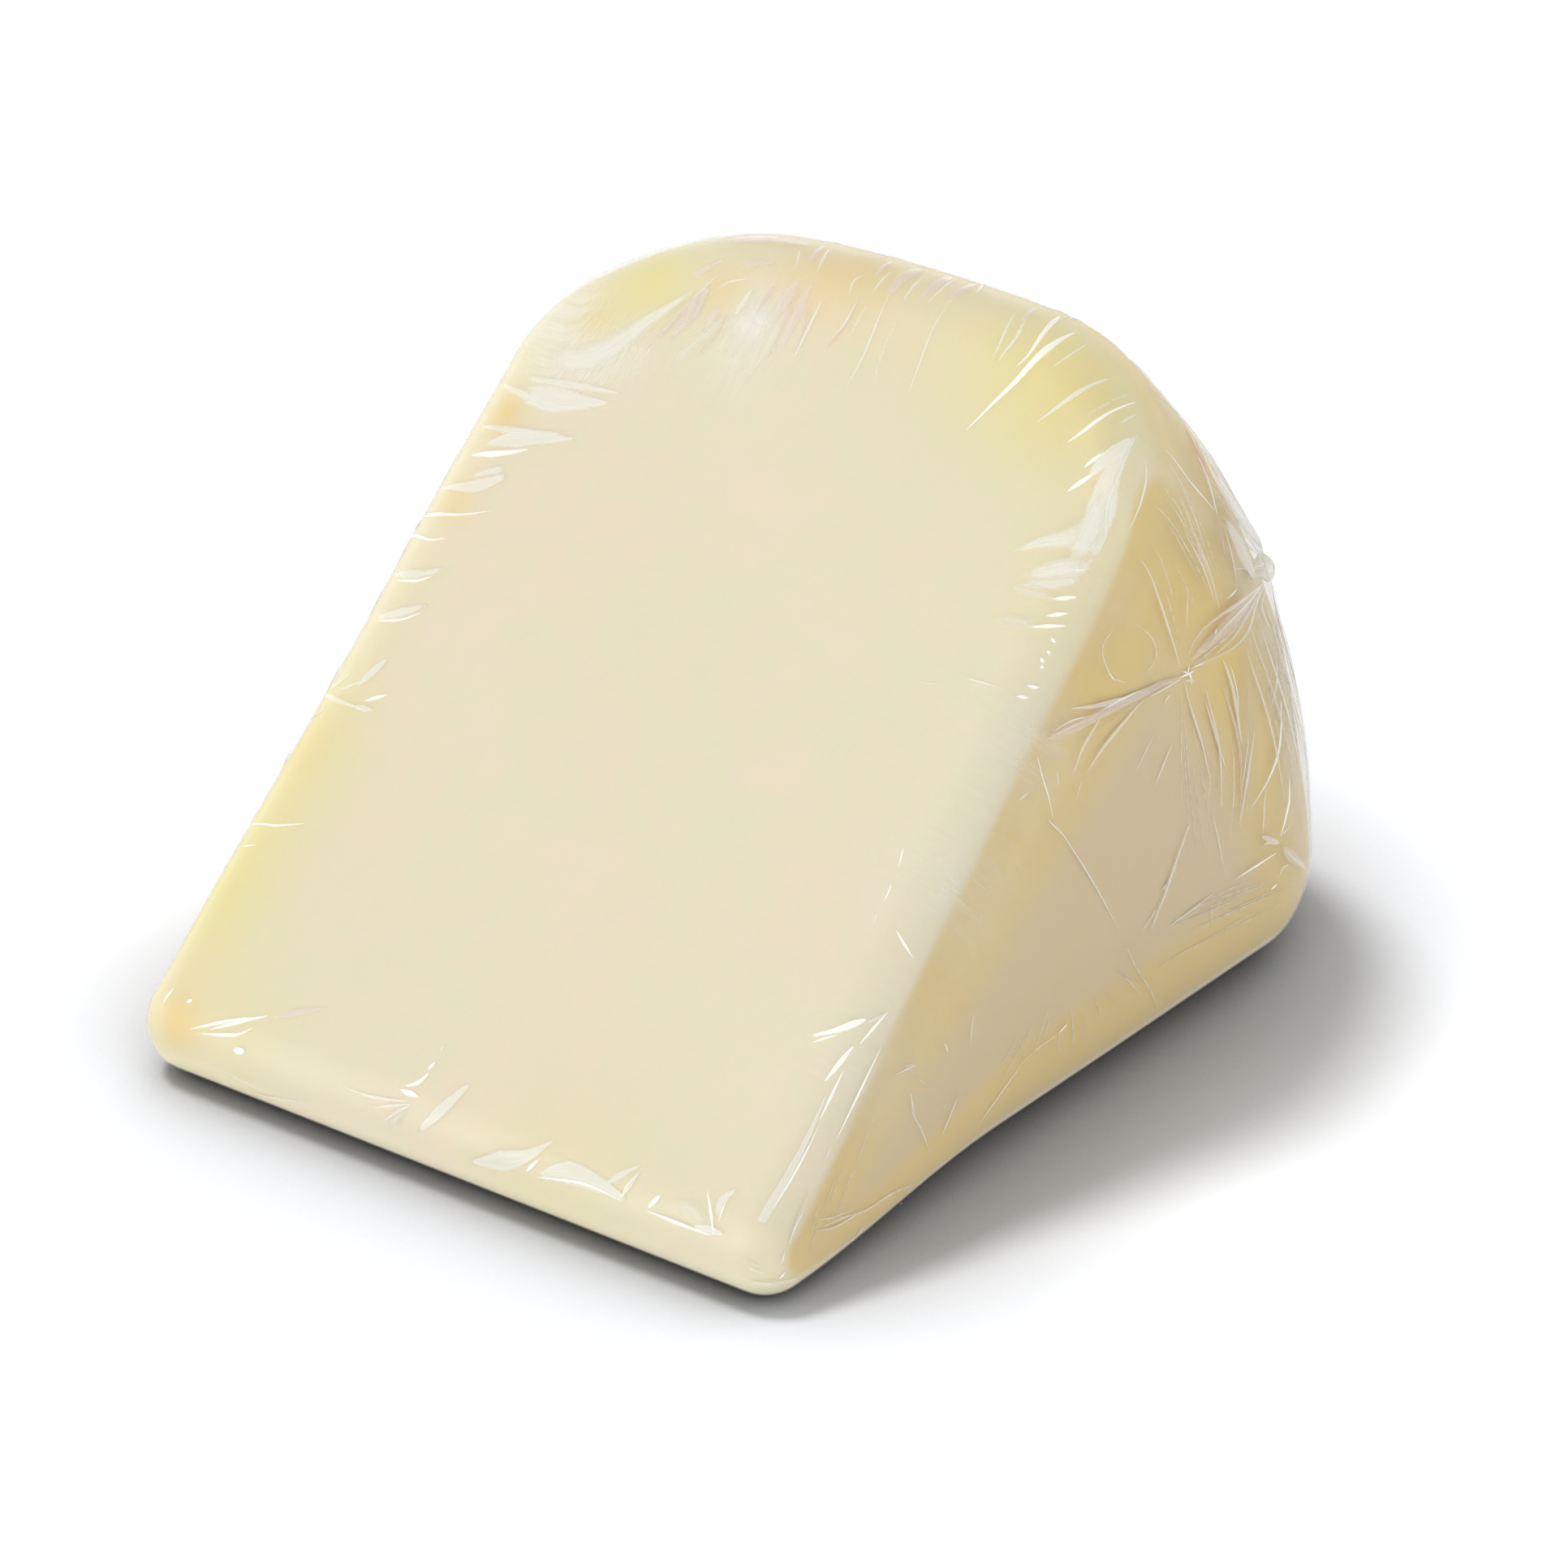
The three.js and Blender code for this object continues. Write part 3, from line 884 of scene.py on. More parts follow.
@dataclass(frozen=True)
class Spot:
    """A soft round place on the skin: where it is, how wide in millimetres and how strong."""

    place: float
    across: float
    radius: float
    amount: float

    def field(self, form: WedgeForm, points: Array) -> Array:
        """How strong the spot is at each point.

        Args:
            form: The form that it lies on.
            points: The points.

        Returns:
            Its strength at each.
        """
        centre, _ = form.skin(self.place, self.across)
        away = ((points - centre) ** 2).sum(-1)
        return self.amount * np.exp(-away / self.radius**2)


def total(spots: Sequence[Spot], form: WedgeForm, points: Array) -> Array:
    """The sum of some spots."""
    return sum((spot.field(form, points) for spot in spots), np.zeros(points.shape[:-1]))


@dataclass(frozen=True)
class FilmGap:
    """How far the film stands off the cheese: a little all over, more where it spans an edge."""

    contact: float = 0.12
    spans: tuple[Spot, ...] = (
        Spot(3.55, 43.5, 9.0, 1.9),
        Spot(3.95, 47.0, 9.0, 1.2),
        Spot(2.9, 47.5, 10.0, 1.5),
        Spot(2.62, 45.0, 9.0, 1.6),
        Spot(2.2, 47.5, 12.0, 1.3),
        Spot(3.3, -40.0, 8.0, 0.3),
        Spot(4.3, 48.8, 10.0, 0.8),
        Spot(4.6, 48.8, 12.0, 0.7),
        Spot(2.5, -46.0, 12.0, 1.0),
    )

    def at(self, form: WedgeForm, points: Array) -> Array:
        """The gap at each point, in millimetres."""
        return self.contact + total(self.spans, form, points)


@dataclass
class CheeseBody:
    """The cheese itself, just inside the film."""

    form: WedgeForm
    gap: FilmGap
    grid: SkinGrid = SkinGrid()
    yellow_spots: tuple[Spot, ...] = (
        Spot(3.98, -31.8, 5.3, 0.64),
        Spot(4.03, -37.2, 3.8, 0.6),
        Spot(3.9, 24.0, 12.0, 0.45),
        Spot(4.0, 35.0, 10.0, 0.4),
        Spot(4.65, -46.0, 12.0, 0.45),
        Spot(4.85, -46.0, 10.0, 0.5),
        Spot(4.12, 46.5, 9.0, 0.35),
        Spot(5.1, -35.0, 9.0, 0.3),
        Spot(5.3, 16.0, 15.0, 0.26),
        # This spot at the tip of the front edge stands in part for the shade that the tip lies in.
        Spot(5.4, 48.0, 8.0, 0.12),
    )
    orange_spots: tuple[Spot, ...] = (
        Spot(3.65, -4.4, 7.0, 0.36),
        Spot(3.85, -11.0, 6.0, 0.25),
        Spot(4.01, -21.2, 2.8, 0.45),
        Spot(4.14, -42.2, 2.4, 0.75),
        Spot(4.27, -42.5, 2.6, 0.4),
        Spot(4.62, -46.0, 4.5, 0.4),
        Spot(5.183, -42.0, 3.1, 0.68),
        Spot(3.75, 33.0, 6.0, 0.25),
        Spot(4.035, -37.4, 2.8, 0.42),
    )
    warm_side: Pair = (34.0, 49.0)
    warm_top: Pair = (4.16, 3.95)
    warm_top_share: float = 0.5
    warm_amount: float = 0.32
    flank_turn: Pair = (0.77, 0.87)
    flank_gain: float = 0.11
    flank_gain_reach: Pair = (6.0, 26.0)
    rim_turn: Pair = (0.15, 0.6)
    gold_climb: Pair = (5.0, 55.0)
    gold_reach: Pair = (0.02, 0.3)
    gold_least: float = 0.5
    gold_fade: float = 0.55
    gold_fade_turn: Pair = (0.1, 0.5)
    gold_fade_climb: Pair = (50.0, 72.0)

    def edge_warmth(self, place: Array, across: Array) -> Array:
        """How yellow the cheese is from being near an edge.

        Args:
            place: Where round the outline.
            across: Where over the slices.

        Returns:
            From 0 to about 0.35.
        """
        near_side = smoothstep(-across, *self.warm_side)
        near_top = smoothstep(place, *self.warm_top) * (place > TOP_EDGE)
        return self.warm_amount * np.clip(near_side + self.warm_top_share * near_top, 0, 1)

    def side_share(self, points: Array, normal: Array) -> Array:
        """Where the tan face of the sides and rim is.

        Args:
            points: Points of the skin.
            normal: Their unit normals.

        Returns:
            0 on the cuts and 1 on the sides and the rim.
        """
        near_nose = 1 - smoothstep(points[..., 1] - SHIFT_Y, *self.flank_gain_reach)
        flank = smoothstep(np.abs(normal[..., 0]) - self.flank_gain * near_nose, *self.flank_turn)
        return np.maximum(flank, smoothstep(normal[..., 1], *self.rim_turn))

    def gold_share(self, points: Array, normal: Array, across: Array) -> Array:
        """Where glow is painted on the sides: golden near their upper edges, where light shines through the
        cheese.

        Args:
            points: Points of the skin.
            normal: Their unit normals.
            across: Where over the slices they are.

        Returns:
            From 0 to 1.
        """
        upper = smoothstep(points[:, 2], *self.gold_climb)
        start, reach = self.gold_reach
        inward = np.abs(across) - self.form.half_width
        gold = 1 - smoothstep(inward, start, reach + reach * upper)
        gold = gold * (self.gold_least + (1 - self.gold_least) * upper)
        lower = 1 - smoothstep(points[:, 2], *self.gold_fade_climb)
        return gold * (1 - self.gold_fade * smoothstep(normal[:, 1], *self.gold_fade_turn) * lower)

    def build(self, material: Material) -> None:
        """Makes the piece.

        Args:
            material: Its finish.
        """
        place, across, faces = self.grid.closed(self.form)
        skin, normal = self.form.skin(place, across)
        points = skin - normal * self.gap.at(self.form, skin)[:, None]
        points[:, 2] = np.maximum(points[:, 2], self.gap.contact / 2)
        piece = new_object("cheese", points, outward(points, faces), material)
        warm = self.edge_warmth(place, across) + total(self.yellow_spots, self.form, skin)
        orange = total(self.orange_spots, self.form, skin)
        side = self.side_share(skin, normal)
        # painted glow of light through the cheese near the sides' upper edges
        gold = self.gold_share(skin, normal, across)
        store(piece.data, warm=np.clip(warm, 0, 1), orange=np.clip(orange, 0, 1), side=side, gold=gold)
        attach(piece)


# ---- the film


@dataclass
class FilmWrap:
    """The film stretched over the cheese, and a way to lay folds on it."""

    form: WedgeForm
    gap: FilmGap
    grid: SkinGrid = SkinGrid(
        (40, 22, 72, 36, 110, 30), flat_steps=22, shoulder_steps=34, round_steps=24, side_rings=18
    )
    # painted sheen: spots where the film's haze paints white sheen on it
    hazes: tuple[Spot, ...] = (
        Spot(3.99, -43.0, 4.6, 0.5),
        Spot(3.88, -40.0, 3.6, 0.36),
        Spot(4.09, -38.0, 5.0, 0.5),
        Spot(4.1, -31.0, 5.0, 0.42),
        Spot(4.09, -14.5, 6.0, 0.26),
        Spot(4.033, -14.0, 5.2, 0.46),
        Spot(3.5, 45.0, 8.0, 0.05),
        Spot(2.6, 46.0, 9.0, 0.12),
        Spot(2.3, 47.5, 12.0, 0.05),
        Spot(2.1, 48.0, 8.0, 0.02),
        Spot(1.9, 44.0, 9.0, 0.08),
        Spot(4.1, 48.2, 7.0, 0.2),
        Spot(4.3, 48.8, 8.0, 0.3),
        Spot(4.5, 48.8, 9.0, 0.3),
        Spot(4.75, 48.6, 9.0, 0.25),
        Spot(2.83, 50.2, 6.0, 0.08),
    )
    tents: tuple[Spot, ...] = (Spot(2.61, 44.0, 7.0, 1.0), Spot(2.8, 43.5, 9.0, 0.6))
    gap_haze: float = 0.03
    ripple_turn: Pair = (25.0, 40.0)
    ripple_slope: Pair = (0.8, 0.6)
    ripple_fine: float = 0.9
    ripple_drawn: float = 0.12
    ripple_climb: float = 0.05
    tree: BVHTree | None = None

    def build(self, material: Material) -> None:
        """Makes the film.

        Args:
            material: Its finish.
        """
        place, across, faces = self.grid.closed(self.form)
        points, normal = self.form.skin(place, across)
        points = points + normal * total(self.tents, self.form, points)[:, None]
        faces = outward(points, faces)
        self.tree = BVHTree.FromPolygons(points.tolist(), faces)
        piece = new_object("film", points, faces, material)
        # The haze paints white sheen on the film: in the listed spots, and more where it stands off the
        # cheese.
        stands_off = self.gap.at(self.form, points) - self.gap.contact
        haze = total(self.hazes, self.form, points) + self.gap_haze * stands_off
        store(piece.data, haze=np.clip(haze, 0, 1), drawn=self.drawn(across, points))
        attach(piece)

    def drawn(self, across: Array, points: Array) -> Array:
        """Where the ripples of the film are read, so that they run across the nearest edge.

        Args:
            across: Where over the slices.
            points: The film's points.

        Returns:
            A vector for each point.
        """
        near_side = smoothstep(np.abs(across), *self.ripple_turn)
        along = points[:, 1] * self.ripple_slope[0] + points[:, 2] * self.ripple_slope[1]
        swap = (self.ripple_fine - self.ripple_drawn) * near_side
        first = points[:, 0] * (self.ripple_fine - swap)
        second = along * (self.ripple_drawn + swap)
        return np.stack([first, second, points[:, 2] * self.ripple_climb], -1)

    def point(self, place: float, across: float) -> tuple[Vector, Vector]:
        """A point of the film."""
        at, normal = self.form.skin(place, across)
        return Vector(at), Vector(normal)

    def snap(self, point: Vector) -> tuple[Vector, Vector]:
        """The nearest point of the film."""
        at, normal, _, _ = self.tree.find_nearest(point)
        return at, normal


@dataclass(frozen=True)
class Trail:
    """A path over the film with a normal at each of its points."""

    points: tuple[Vector, ...]
    normals: tuple[Vector, ...]

    def length(self) -> float:
        """The path's length in millimetres."""
        return sum((b - a).length for a, b in zip(self.points, self.points[1:]))


@dataclass(frozen=True)
class TrailMaker:
    """Finds paths over the film."""

    film: FilmWrap
    step: float = 0.7

    def walk(self, start: Pair, heading: float, length: float) -> Trail:
        """Walks over the film.

        Args:
            start: Place and across.
            heading: Degrees: 0 leads to +X and 90 on round the outline.
            length: Millimetres.

        Returns:
            The path.
        """
        at, normal = self.film.point(*start)
        onward = self.film.point(start[0] + NUDGE, start[1])[0] - at
        sideways = Vector((1, 0, 0))
        sideways = (sideways - normal * sideways.dot(normal)).normalized()
        onward = (onward - normal * onward.dot(normal)).normalized()
        onward = (onward - sideways * onward.dot(sideways)).normalized()
        turn = math.radians(heading)
        way = sideways * math.cos(turn) + onward * math.sin(turn)
        steps = max(FEWEST_STEPS, round(length / self.step))
        points, normals = [at], [normal]
        for _ in range(steps):
            at, normal = self.film.snap(at + way * (length / steps))
            way = (way - normal * way.dot(normal)).normalized()
            points.append(at)
            normals.append(normal)
        return Trail(tuple(points), tuple(normals))

    def through(self, marks: Sequence[Pair]) -> Trail:
        """Goes through a few places on a smooth curve.

        Args:
            marks: Each a place and across.

        Returns:
            The path.
        """
        knots = [self.film.point(*mark)[0] for mark in marks]
        knots = [knots[0] * 2 - knots[1], *knots, knots[-1] * 2 - knots[-2]]
        points, normals = [], []
        for a, b, c, d in zip(knots, knots[1:], knots[2:], knots[3:]):
            steps = max(2, round((c - b).length / self.step))
            for i in range(steps + (d is knots[-1])):
                t = i / steps
                curve = b * 2 + (c - a) * t + (a * 2 - b * 5 + c * 4 - d) * t * t
                curve += (b * 3 - a - c * 3 + d) * t * t * t
                at, normal = self.film.snap(curve / 2)
                points.append(at)
                normals.append(normal)
        return Trail(tuple(points), tuple(normals))


@dataclass(frozen=True)
class Look:
    """How a fold of film shows: how strongly it is painted white, in part as sheen and highlights, its
    tint, and how soft and how combed its edges are.
    """

    strength: float
    softness: float = 0.3
    combing: float = 0.1
    tone: Tone = Tone.WHITE

    def shown(self) -> Triple:
        """What the finish reads as one vector."""
        return self.strength, self.tone.value, self.softness


@dataclass(frozen=True, kw_only=True)
class FoldForm:
    """The outline and height of a strip of film along its path."""

    widest: float = 0.5
    start: float = 0.0
    end: float = 0.0
    point: float = 0.6
    height: float = 0.06
    thinnest: float = 0.04

    def swell(self, along: float) -> float:
        """The strip's width as a share of its widest.

        Args:
            along: The share of its length that lies behind.

        Returns:
            The share, never less than the thinnest.
        """
        if along < self.widest:
            tip, rise = self.start, along / self.widest
        else:
            tip, rise = self.end, (1 - along) / (1 - self.widest)
        return max(self.thinnest, tip + (1 - tip) * rise**self.point)


@dataclass(frozen=True)
class Fold(FoldForm):
    """A fold of film through a few places, with half its width."""

    marks: tuple[Pair, ...]
    width: float
    look: Look

    def trails(self, maker: TrailMaker, rng: np.random.Generator) -> list[Trail]:
        """Lays out the fold."""
        return [maker.through(self.marks)]

    def mirrored(self, rng: np.random.Generator) -> Fold:
        """A like fold on the other side.

        Args:
            rng: For how much it strays.

        Returns:
            The fold.
        """
        stray = rng.uniform(-1, 1, 2)
        marks = tuple((place + MIRROR_STRAY * stray[0], -across) for place, across in self.marks)
        width = self.width * (1 + MIRROR_WIDER * stray[1])
        return replace(self, marks=marks, width=width, height=self.height * MIRROR_FLATTER)


@dataclass(frozen=True)
class StreakFan(FoldForm):
    """Streaks of sheen side by side, as stretched film shows them beside an edge."""

    place: float
    across: float
    heading: float
    length: float
    width: float
    look: Look
    count: int = 1
    down: float = 0.0
    out: float = 0.0
    turn: float = 0.0
    shorter: float = 0.1
    loose: float = 0.3
    uneven: float = 0.25
    last: float = 49.5

    def trails(self, maker: TrailMaker, rng: np.random.Generator) -> list[Trail]:
        """Lays out the streaks.

        Args:
            maker: Finds paths over the film.
            rng: For what differs from streak to streak.

        Returns:
            One path for each.
        """
        film = maker.film
        a, _ = film.point(self.place, self.across)
        b, _ = film.point(self.place + NUDGE, self.across)
        per_place = (b - a).length / NUDGE
        found = []
        for i in range(self.count):
            order = i - (self.count - 1) / 2
            stray = rng.uniform(-1, 1, 3)
            place = self.place + (order + self.loose * stray[0]) * self.down / per_place
            across = self.across + (order + self.loose * stray[1]) * self.out
            start = (place, float(np.clip(across, -self.last, self.last)))
            reach = self.length * (1 - self.shorter * abs(order)) * (1 + self.uneven * stray[2])
            found.append(maker.walk(start, self.heading + order * self.turn, reach))
        return found


def tuck(width: float, look: Look, *marks: Pair, **outline: float) -> Fold:
    """Names a fold's half width and its look before the places that it goes through."""
    return Fold(marks=marks, width=width, look=look, **outline)


# The looks of the strips: each paints white or rosy sheen and highlights on the film, from faint veils to
# bright glints.
VEIL = Look(0.46, 0.9, 0.15)
FAINT = Look(0.4, 0.5)
MILK = Look(0.72, 0.6, 0.12)
SHEET = Look(0.74, 0.24, 0.08)
SHINE = Look(0.92, 0.3, 0.0)
RIDGE = Look(0.7, 0.35, 0.0)
PETAL = Look(0.62, 0.3, 0.06, Tone.PALE_ROSE)
BLUSH = Look(0.45, 0.5, 0.15, Tone.ROSE)
ROSE_RIDGE = Look(0.7, 0.35, 0.0, Tone.DEEP_ROSE)
LILAC = Look(0.5, 0.4, 0.1, Tone.LILAC)
MIST = Look(0.26, 1.2, 0.3, Tone.PALE_ROSE)

CUT_FOLDS: dict[str, Fold] = {
    "corner_sweep": tuck(
        2.38, MILK, (4.07, -40.8), (4.093, -35.2), (4.08, -32), (4.05, -29.2), (4.007, -24.8),
        widest=0.3, start=0.7, point=0.9
    ),
    "corner_sweep_core": tuck(2.14, MILK, (4.097, -36.8), (4.087, -30.8)),
    "corner_tongue": tuck(
        2.04, SHEET, (4.12, -41), (4.153, -34.8), (4.163, -28.4), widest=0.35, start=0.6, point=0.9
    ),
    "corner_tongue_top": tuck(0.76, MILK, (4.093, -41.8), (4.15, -27.6), widest=0.4, start=0.3),
    "corner_slip": tuck(0.76, MILK, (4.08, -45.4), (4.117, -41.5), (4.143, -38), widest=0.6),
    "sweep_line": tuck(0.24, RIDGE, (4.11, -27.6), (4.06, -26.4), (4.02, -24.8), (3.917, -23.2)),
    "sweep_blush": tuck(0.5, BLUSH, (4.097, -27.6), (4.02, -24.8)),
    "sweep_lens": tuck(1.42, PETAL, (4.08, -25.2), (4.003, -23.6), point=0.8),
    "sweep_lens_tail": tuck(0.58, PETAL, (4.057, -24), (4.01, -24.8)),
    "soft_streak": tuck(1.24, VEIL, (4.11, -23.2), (4.033, -18.8), widest=0.4),
    "soft_blush": tuck(0.36, BLUSH, (4.097, -20.4), (4.067, -19.2), (4.037, -19.2)),
    "soft_petal": tuck(0.58, PETAL, (4.067, -20.8), (4.04, -20.8), (4.033, -20)),
    "top_blob": tuck(3.7, MILK, (4.09, -15.2), (4.003, -15.2), widest=0.45, start=0.5, end=0.45, point=0.7),
    "top_blob_core": tuck(2.38, MILK, (4.067, -14.8), (4.01, -14.4), start=0.3, end=0.3),
    "blob_tooth_left": tuck(0.71, MILK, (4.043, -18), (4, -17.6), end=0.1, point=1),
    "blob_tooth_mid": tuck(0.55, BLUSH, (4.03, -15.2), (3.933, -14.8)),
    "blob_tooth_right": tuck(0.95, PETAL, (4.043, -12.4), (3.85, -12), widest=0.45, point=0.8),
    "blush_left": tuck(0.46, BLUSH, (4.083, -10.4), (3.9, -11.2)),
    "petal_right": tuck(0.81, PETAL, (4.07, -9.2), (3.867, -10), widest=0.55, point=0.8),
    "blush_right": tuck(0.41, BLUSH, (4.073, -7.2), (4.037, -7.6), (4, -8.8)),
    "top_line_a": tuck(0.24, RIDGE, (4.073, -6.8), (3.983, -7.2)),
    "top_line_b": tuck(0.42, BLUSH, (4.057, -3.2), (4.02, -2.4), (3.867, -2.4)),
    "top_line_b_core": tuck(0.22, RIDGE, (4.04, -3.2), (4.02, -2.4), (3.933, -2.4)),
    "top_line_c": tuck(0.19, FAINT, (4.033, -0.8), (3.933, -0.8)),
    "top_line_d": tuck(0.19, RIDGE, (4.09, 2.4), (4.043, 2.4), (3.8, 1.2)),
    "top_line_e": tuck(0.15, FAINT, (4.08, 6), (4.037, 4.8), (3.95, 4.4)),
    "top_line_f": tuck(0.15, RIDGE, (4.073, 11.2), (4.003, 10), (3.733, 9.6)),
    "top_rose_patch": tuck(
        1.24, PETAL, (3.583, -26.4), (3.533, -20.8), (3.5, -14.8), widest=0.4, start=0.3
    ),
    "top_small_patch": tuck(0.71, PETAL, (3.833, -21.2), (3.767, -16.8)),
    "left_small_patch": tuck(0.66, PETAL, (3.983, -26.8), (3.8, -24)),
    "top_curl": tuck(0.2, RIDGE, (4.01, -22.4), (3.983, -21.2), (3.933, -18.4)),
    "top_tick_a": tuck(0.29, RIDGE, (3.783, -10.4), (3.483, -12.4)),
    "top_tick_b": tuck(0.22, RIDGE, (3.783, -13.6), (3.583, -15.6)),
    "top_tick_c": tuck(0.58, PETAL, (3.717, -12.8), (3.567, -13.2), (3.433, -14)),
    "top_tick_d": tuck(0.19, RIDGE, (3.9, -4), (3.767, -4.8), (3.7, -4)),
    "rim_patch_a": tuck(0.53, PETAL, (3.683, -2.8), (3.417, -3.6)),
    "rim_patch_b": tuck(1.15, PETAL, (3.833, 1.2), (3.65, 0.8), (3.417, 0.8), start=0.1, end=0.4),
    "rim_patch_c": tuck(0.89, PETAL, (3.75, 5.6), (3.6, 5.6), (3.383, 5.2), start=0.3, end=0.3),
    "rim_patch_d": tuck(0.66, PETAL, (3.717, 9.2), (3.583, 9.2), (3.35, 8.8), widest=0.45, point=0.7),
    "rim_tick_a": tuck(0.22, RIDGE, (3.833, -1.2), (3.583, -1.6)),
    "rim_tick_b": tuck(0.22, RIDGE, (3.833, 3.6), (3.517, 2.8)),
    "rim_tick_c": tuck(0.22, RIDGE, (3.8, 6.8), (3.6, 6.8), (3.4, 6)),
    "rim_tick_d": tuck(0.19, RIDGE, (3.583, 11.2), (3.467, 10.8), (3.217, 8.4)),
    "shoulder_a": tuck(0.21, RIDGE, (4.003, 20), (3.833, 19.6), (3.55, 18)),
    "shoulder_b": tuck(0.3, RIDGE, (4.003, 20.8), (3.783, 21.2), (3.583, 20), widest=0.6),
    "shoulder_b_patch": tuck(0.53, PETAL, (3.683, 20.4), (3.417, 19.2)),
    "shoulder_c": tuck(0.4, SHINE, (4, 23.6), (3.817, 24.4), (3.383, 22.8), widest=0.8),
    "shoulder_long": tuck(
        0.6, SHINE, (4.09, 21.2), (4.043, 23.2), (3.967, 25.2), (3.45, 26.8), widest=0.75, point=0.8
    ),
    "shoulder_d": tuck(0.21, RIDGE, (3.85, 28.4), (3.65, 29.2), (3.433, 29.2)),
    "shoulder_e": tuck(0.44, RIDGE, (4.037, 30), (3.917, 32.8), (3.517, 35.2), widest=0.55),
    "shoulder_f": tuck(0.17, FAINT, (3.917, 36), (3.733, 37.2), (3.417, 38)),
    "shoulder_g": tuck(0.31, SHINE, (4.023, 35.6), (3.883, 37.6), (3.417, 39.2), widest=0.3),
    "shoulder_h": tuck(0.17, RIDGE, (3.667, 40.4), (3.467, 40.5)),
    "triangle": tuck(
        2.1, SHEET, (3.533, 42.4), (3.767, 43.1), (3.95, 43.4), (4.033, 44.3), (4.077, 45.2),
        widest=0.66, end=0.5, point=0.95
    ),
    "triangle_shoulder": tuck(
        1.1, SHEET, (3.6, 42.5), (3.833, 42.1), (4.017, 41), widest=0.6, start=0.1, end=0.2
    ),
    "triangle_wing": tuck(
        2, MILK, (4.04, 45.4), (4.077, 43), (4.13, 38.6), (4.17, 35.2), widest=0.15, start=0.7, point=0.9
    ),
    "triangle_foot": tuck(
        1.62, MILK, (4.083, 45.3), (4.127, 42.5), (4.173, 38.8), widest=0.4, start=0.4, end=0.3
    ),
    "triangle_foot_low": tuck(
        0.9, MILK, (4.103, 45.6), (4.143, 42.8), (4.183, 38.8), widest=0.4, start=0.2, end=0.2
    ),
    "triangle_web": tuck(
        1.9, MILK, (4.007, 43.6), (4.05, 43.9), (4.107, 44.1), start=0.2, end=0.3, point=0.7
    ),
    "triangle_foot_join": tuck(
        1.1, MILK, (4.073, 45.7), (4.107, 44.4), (4.147, 41.1), widest=0.4, start=0.3, end=0.3
    ),
    "triangle_ray_a": tuck(0.35, SHINE, (3.883, 41.2), (4.02, 39.6)),
    "triangle_ray_b": tuck(0.43, SHINE, (4.003, 41.5), (4.06, 38.8)),
    "triangle_edge": tuck(
        0.17, RIDGE, (3.617, 42.8), (3.917, 44.2), (4.017, 44.6), (4.043, 45.9), (4.087, 45.2)
    ),
    "foot_stripe_a": tuck(0.35, SHINE, (4.123, 46), (4.157, 43.5)),
    "foot_stripe_b": tuck(1.3, VEIL, (4.147, 44.6), (4.2, 37)),
    "foot_stripe_c": tuck(0.31, SHINE, (4.147, 45.9), (4.177, 43.8)),
    "foot_stripe_d": tuck(0.31, SHINE, (4.16, 46.3), (4.203, 42.8)),
    "foot_stripe_e": tuck(1.2, VEIL, (4.187, 44.2), (4.243, 37)),
    "foot_stripe_f": tuck(0.24, RIDGE, (4.09, 42.3), (4.153, 36.8)),
    "foot_stripe_g": tuck(0.24, SHINE, (4.093, 45.4), (4.137, 41.9)),
    "glint_a": tuck(0.28, SHINE, (4.19, 45.2), (4.187, 46.1)),
    "glint_b": tuck(0.28, SHINE, (4.203, 45.5), (4.203, 46.1)),
    "glint_c": tuck(0.28, SHINE, (4.217, 45.2), (4.217, 45.9)),
    "glint_d": tuck(0.28, SHINE, (4.227, 45.6), (4.22, 46.1)),
    "glint_e": tuck(0.28, SHINE, (4.257, 45.2), (4.243, 46.6)),
    "glint_f": tuck(0.28, SHINE, (4.277, 44.7), (4.263, 46.1)),
    "crease_line": tuck(0.21, RIDGE, (3.55, 44.7), (3.617, 46.2), (3.817, 47.3), (4.007, 47.5)),
    "edge_line_a": tuck(0.15, SHINE, (4.52, 40.4), (4.53, 40.7), (4.543, 41)),
    "edge_line_b": tuck(0.14, SHINE, (4.563, 41.1), (4.573, 41.3), (4.587, 41.3)),
    "edge_line_c": tuck(0.13, RIDGE, (4.6, 41.2), (4.617, 41.5)),
    "edge_glint": tuck(0.2, SHINE, (4.603, 44.2), (4.61, 45.6), (4.617, 47)),
    "face_line": tuck(0.21, RIDGE, (4.317, 37.6), (4.29, 42.1)),
    "face_line_left": tuck(0.15, FAINT, (4.36, 32), (4.34, 35.2)),
    "left_patch_a": tuck(0.81, MILK, (4.147, -45.1), (4.183, -39.2), (4.203, -32.4), widest=0.45),
    "left_patch_b": tuck(
        1.35, SHEET, (4.187, -42.5), (4.197, -38.4), (4.21, -30.4), widest=0.35, point=0.8
    ),
    "left_patch_c": tuck(0.5, SHINE, (4.197, -44), (4.213, -39.6), (4.217, -36), widest=0.35),
    "left_patch_d": tuck(0.81, MILK, (4.237, -42.1), (4.24, -37.6), widest=0.6, end=0.3),
    "left_patch_e": tuck(
        1.04, SHEET, (4.237, -45.9), (4.257, -40.8), (4.253, -37.2), widest=0.65, end=0.3, point=0.8
    ),
    "left_line_a": tuck(0.3, SHINE, (4.273, -47), (4.297, -41), (4.303, -36.4), widest=0.2, point=0.8),
    "left_line_b": tuck(0.25, SHINE, (4.293, -47.9), (4.327, -43), (4.333, -40.5), widest=0.4),
    "left_v_leaf": tuck(0.5, MILK, (4.543, -47.4), (4.57, -42.1), (4.583, -38.4), widest=0.35),
    "left_v_line": tuck(0.15, RIDGE, (4.54, -47), (4.533, -44.9), (4.52, -43.8)),
    "left_v_tail": tuck(0.24, RIDGE, (4.547, -44.3), (4.543, -42.8), (4.537, -41.1)),
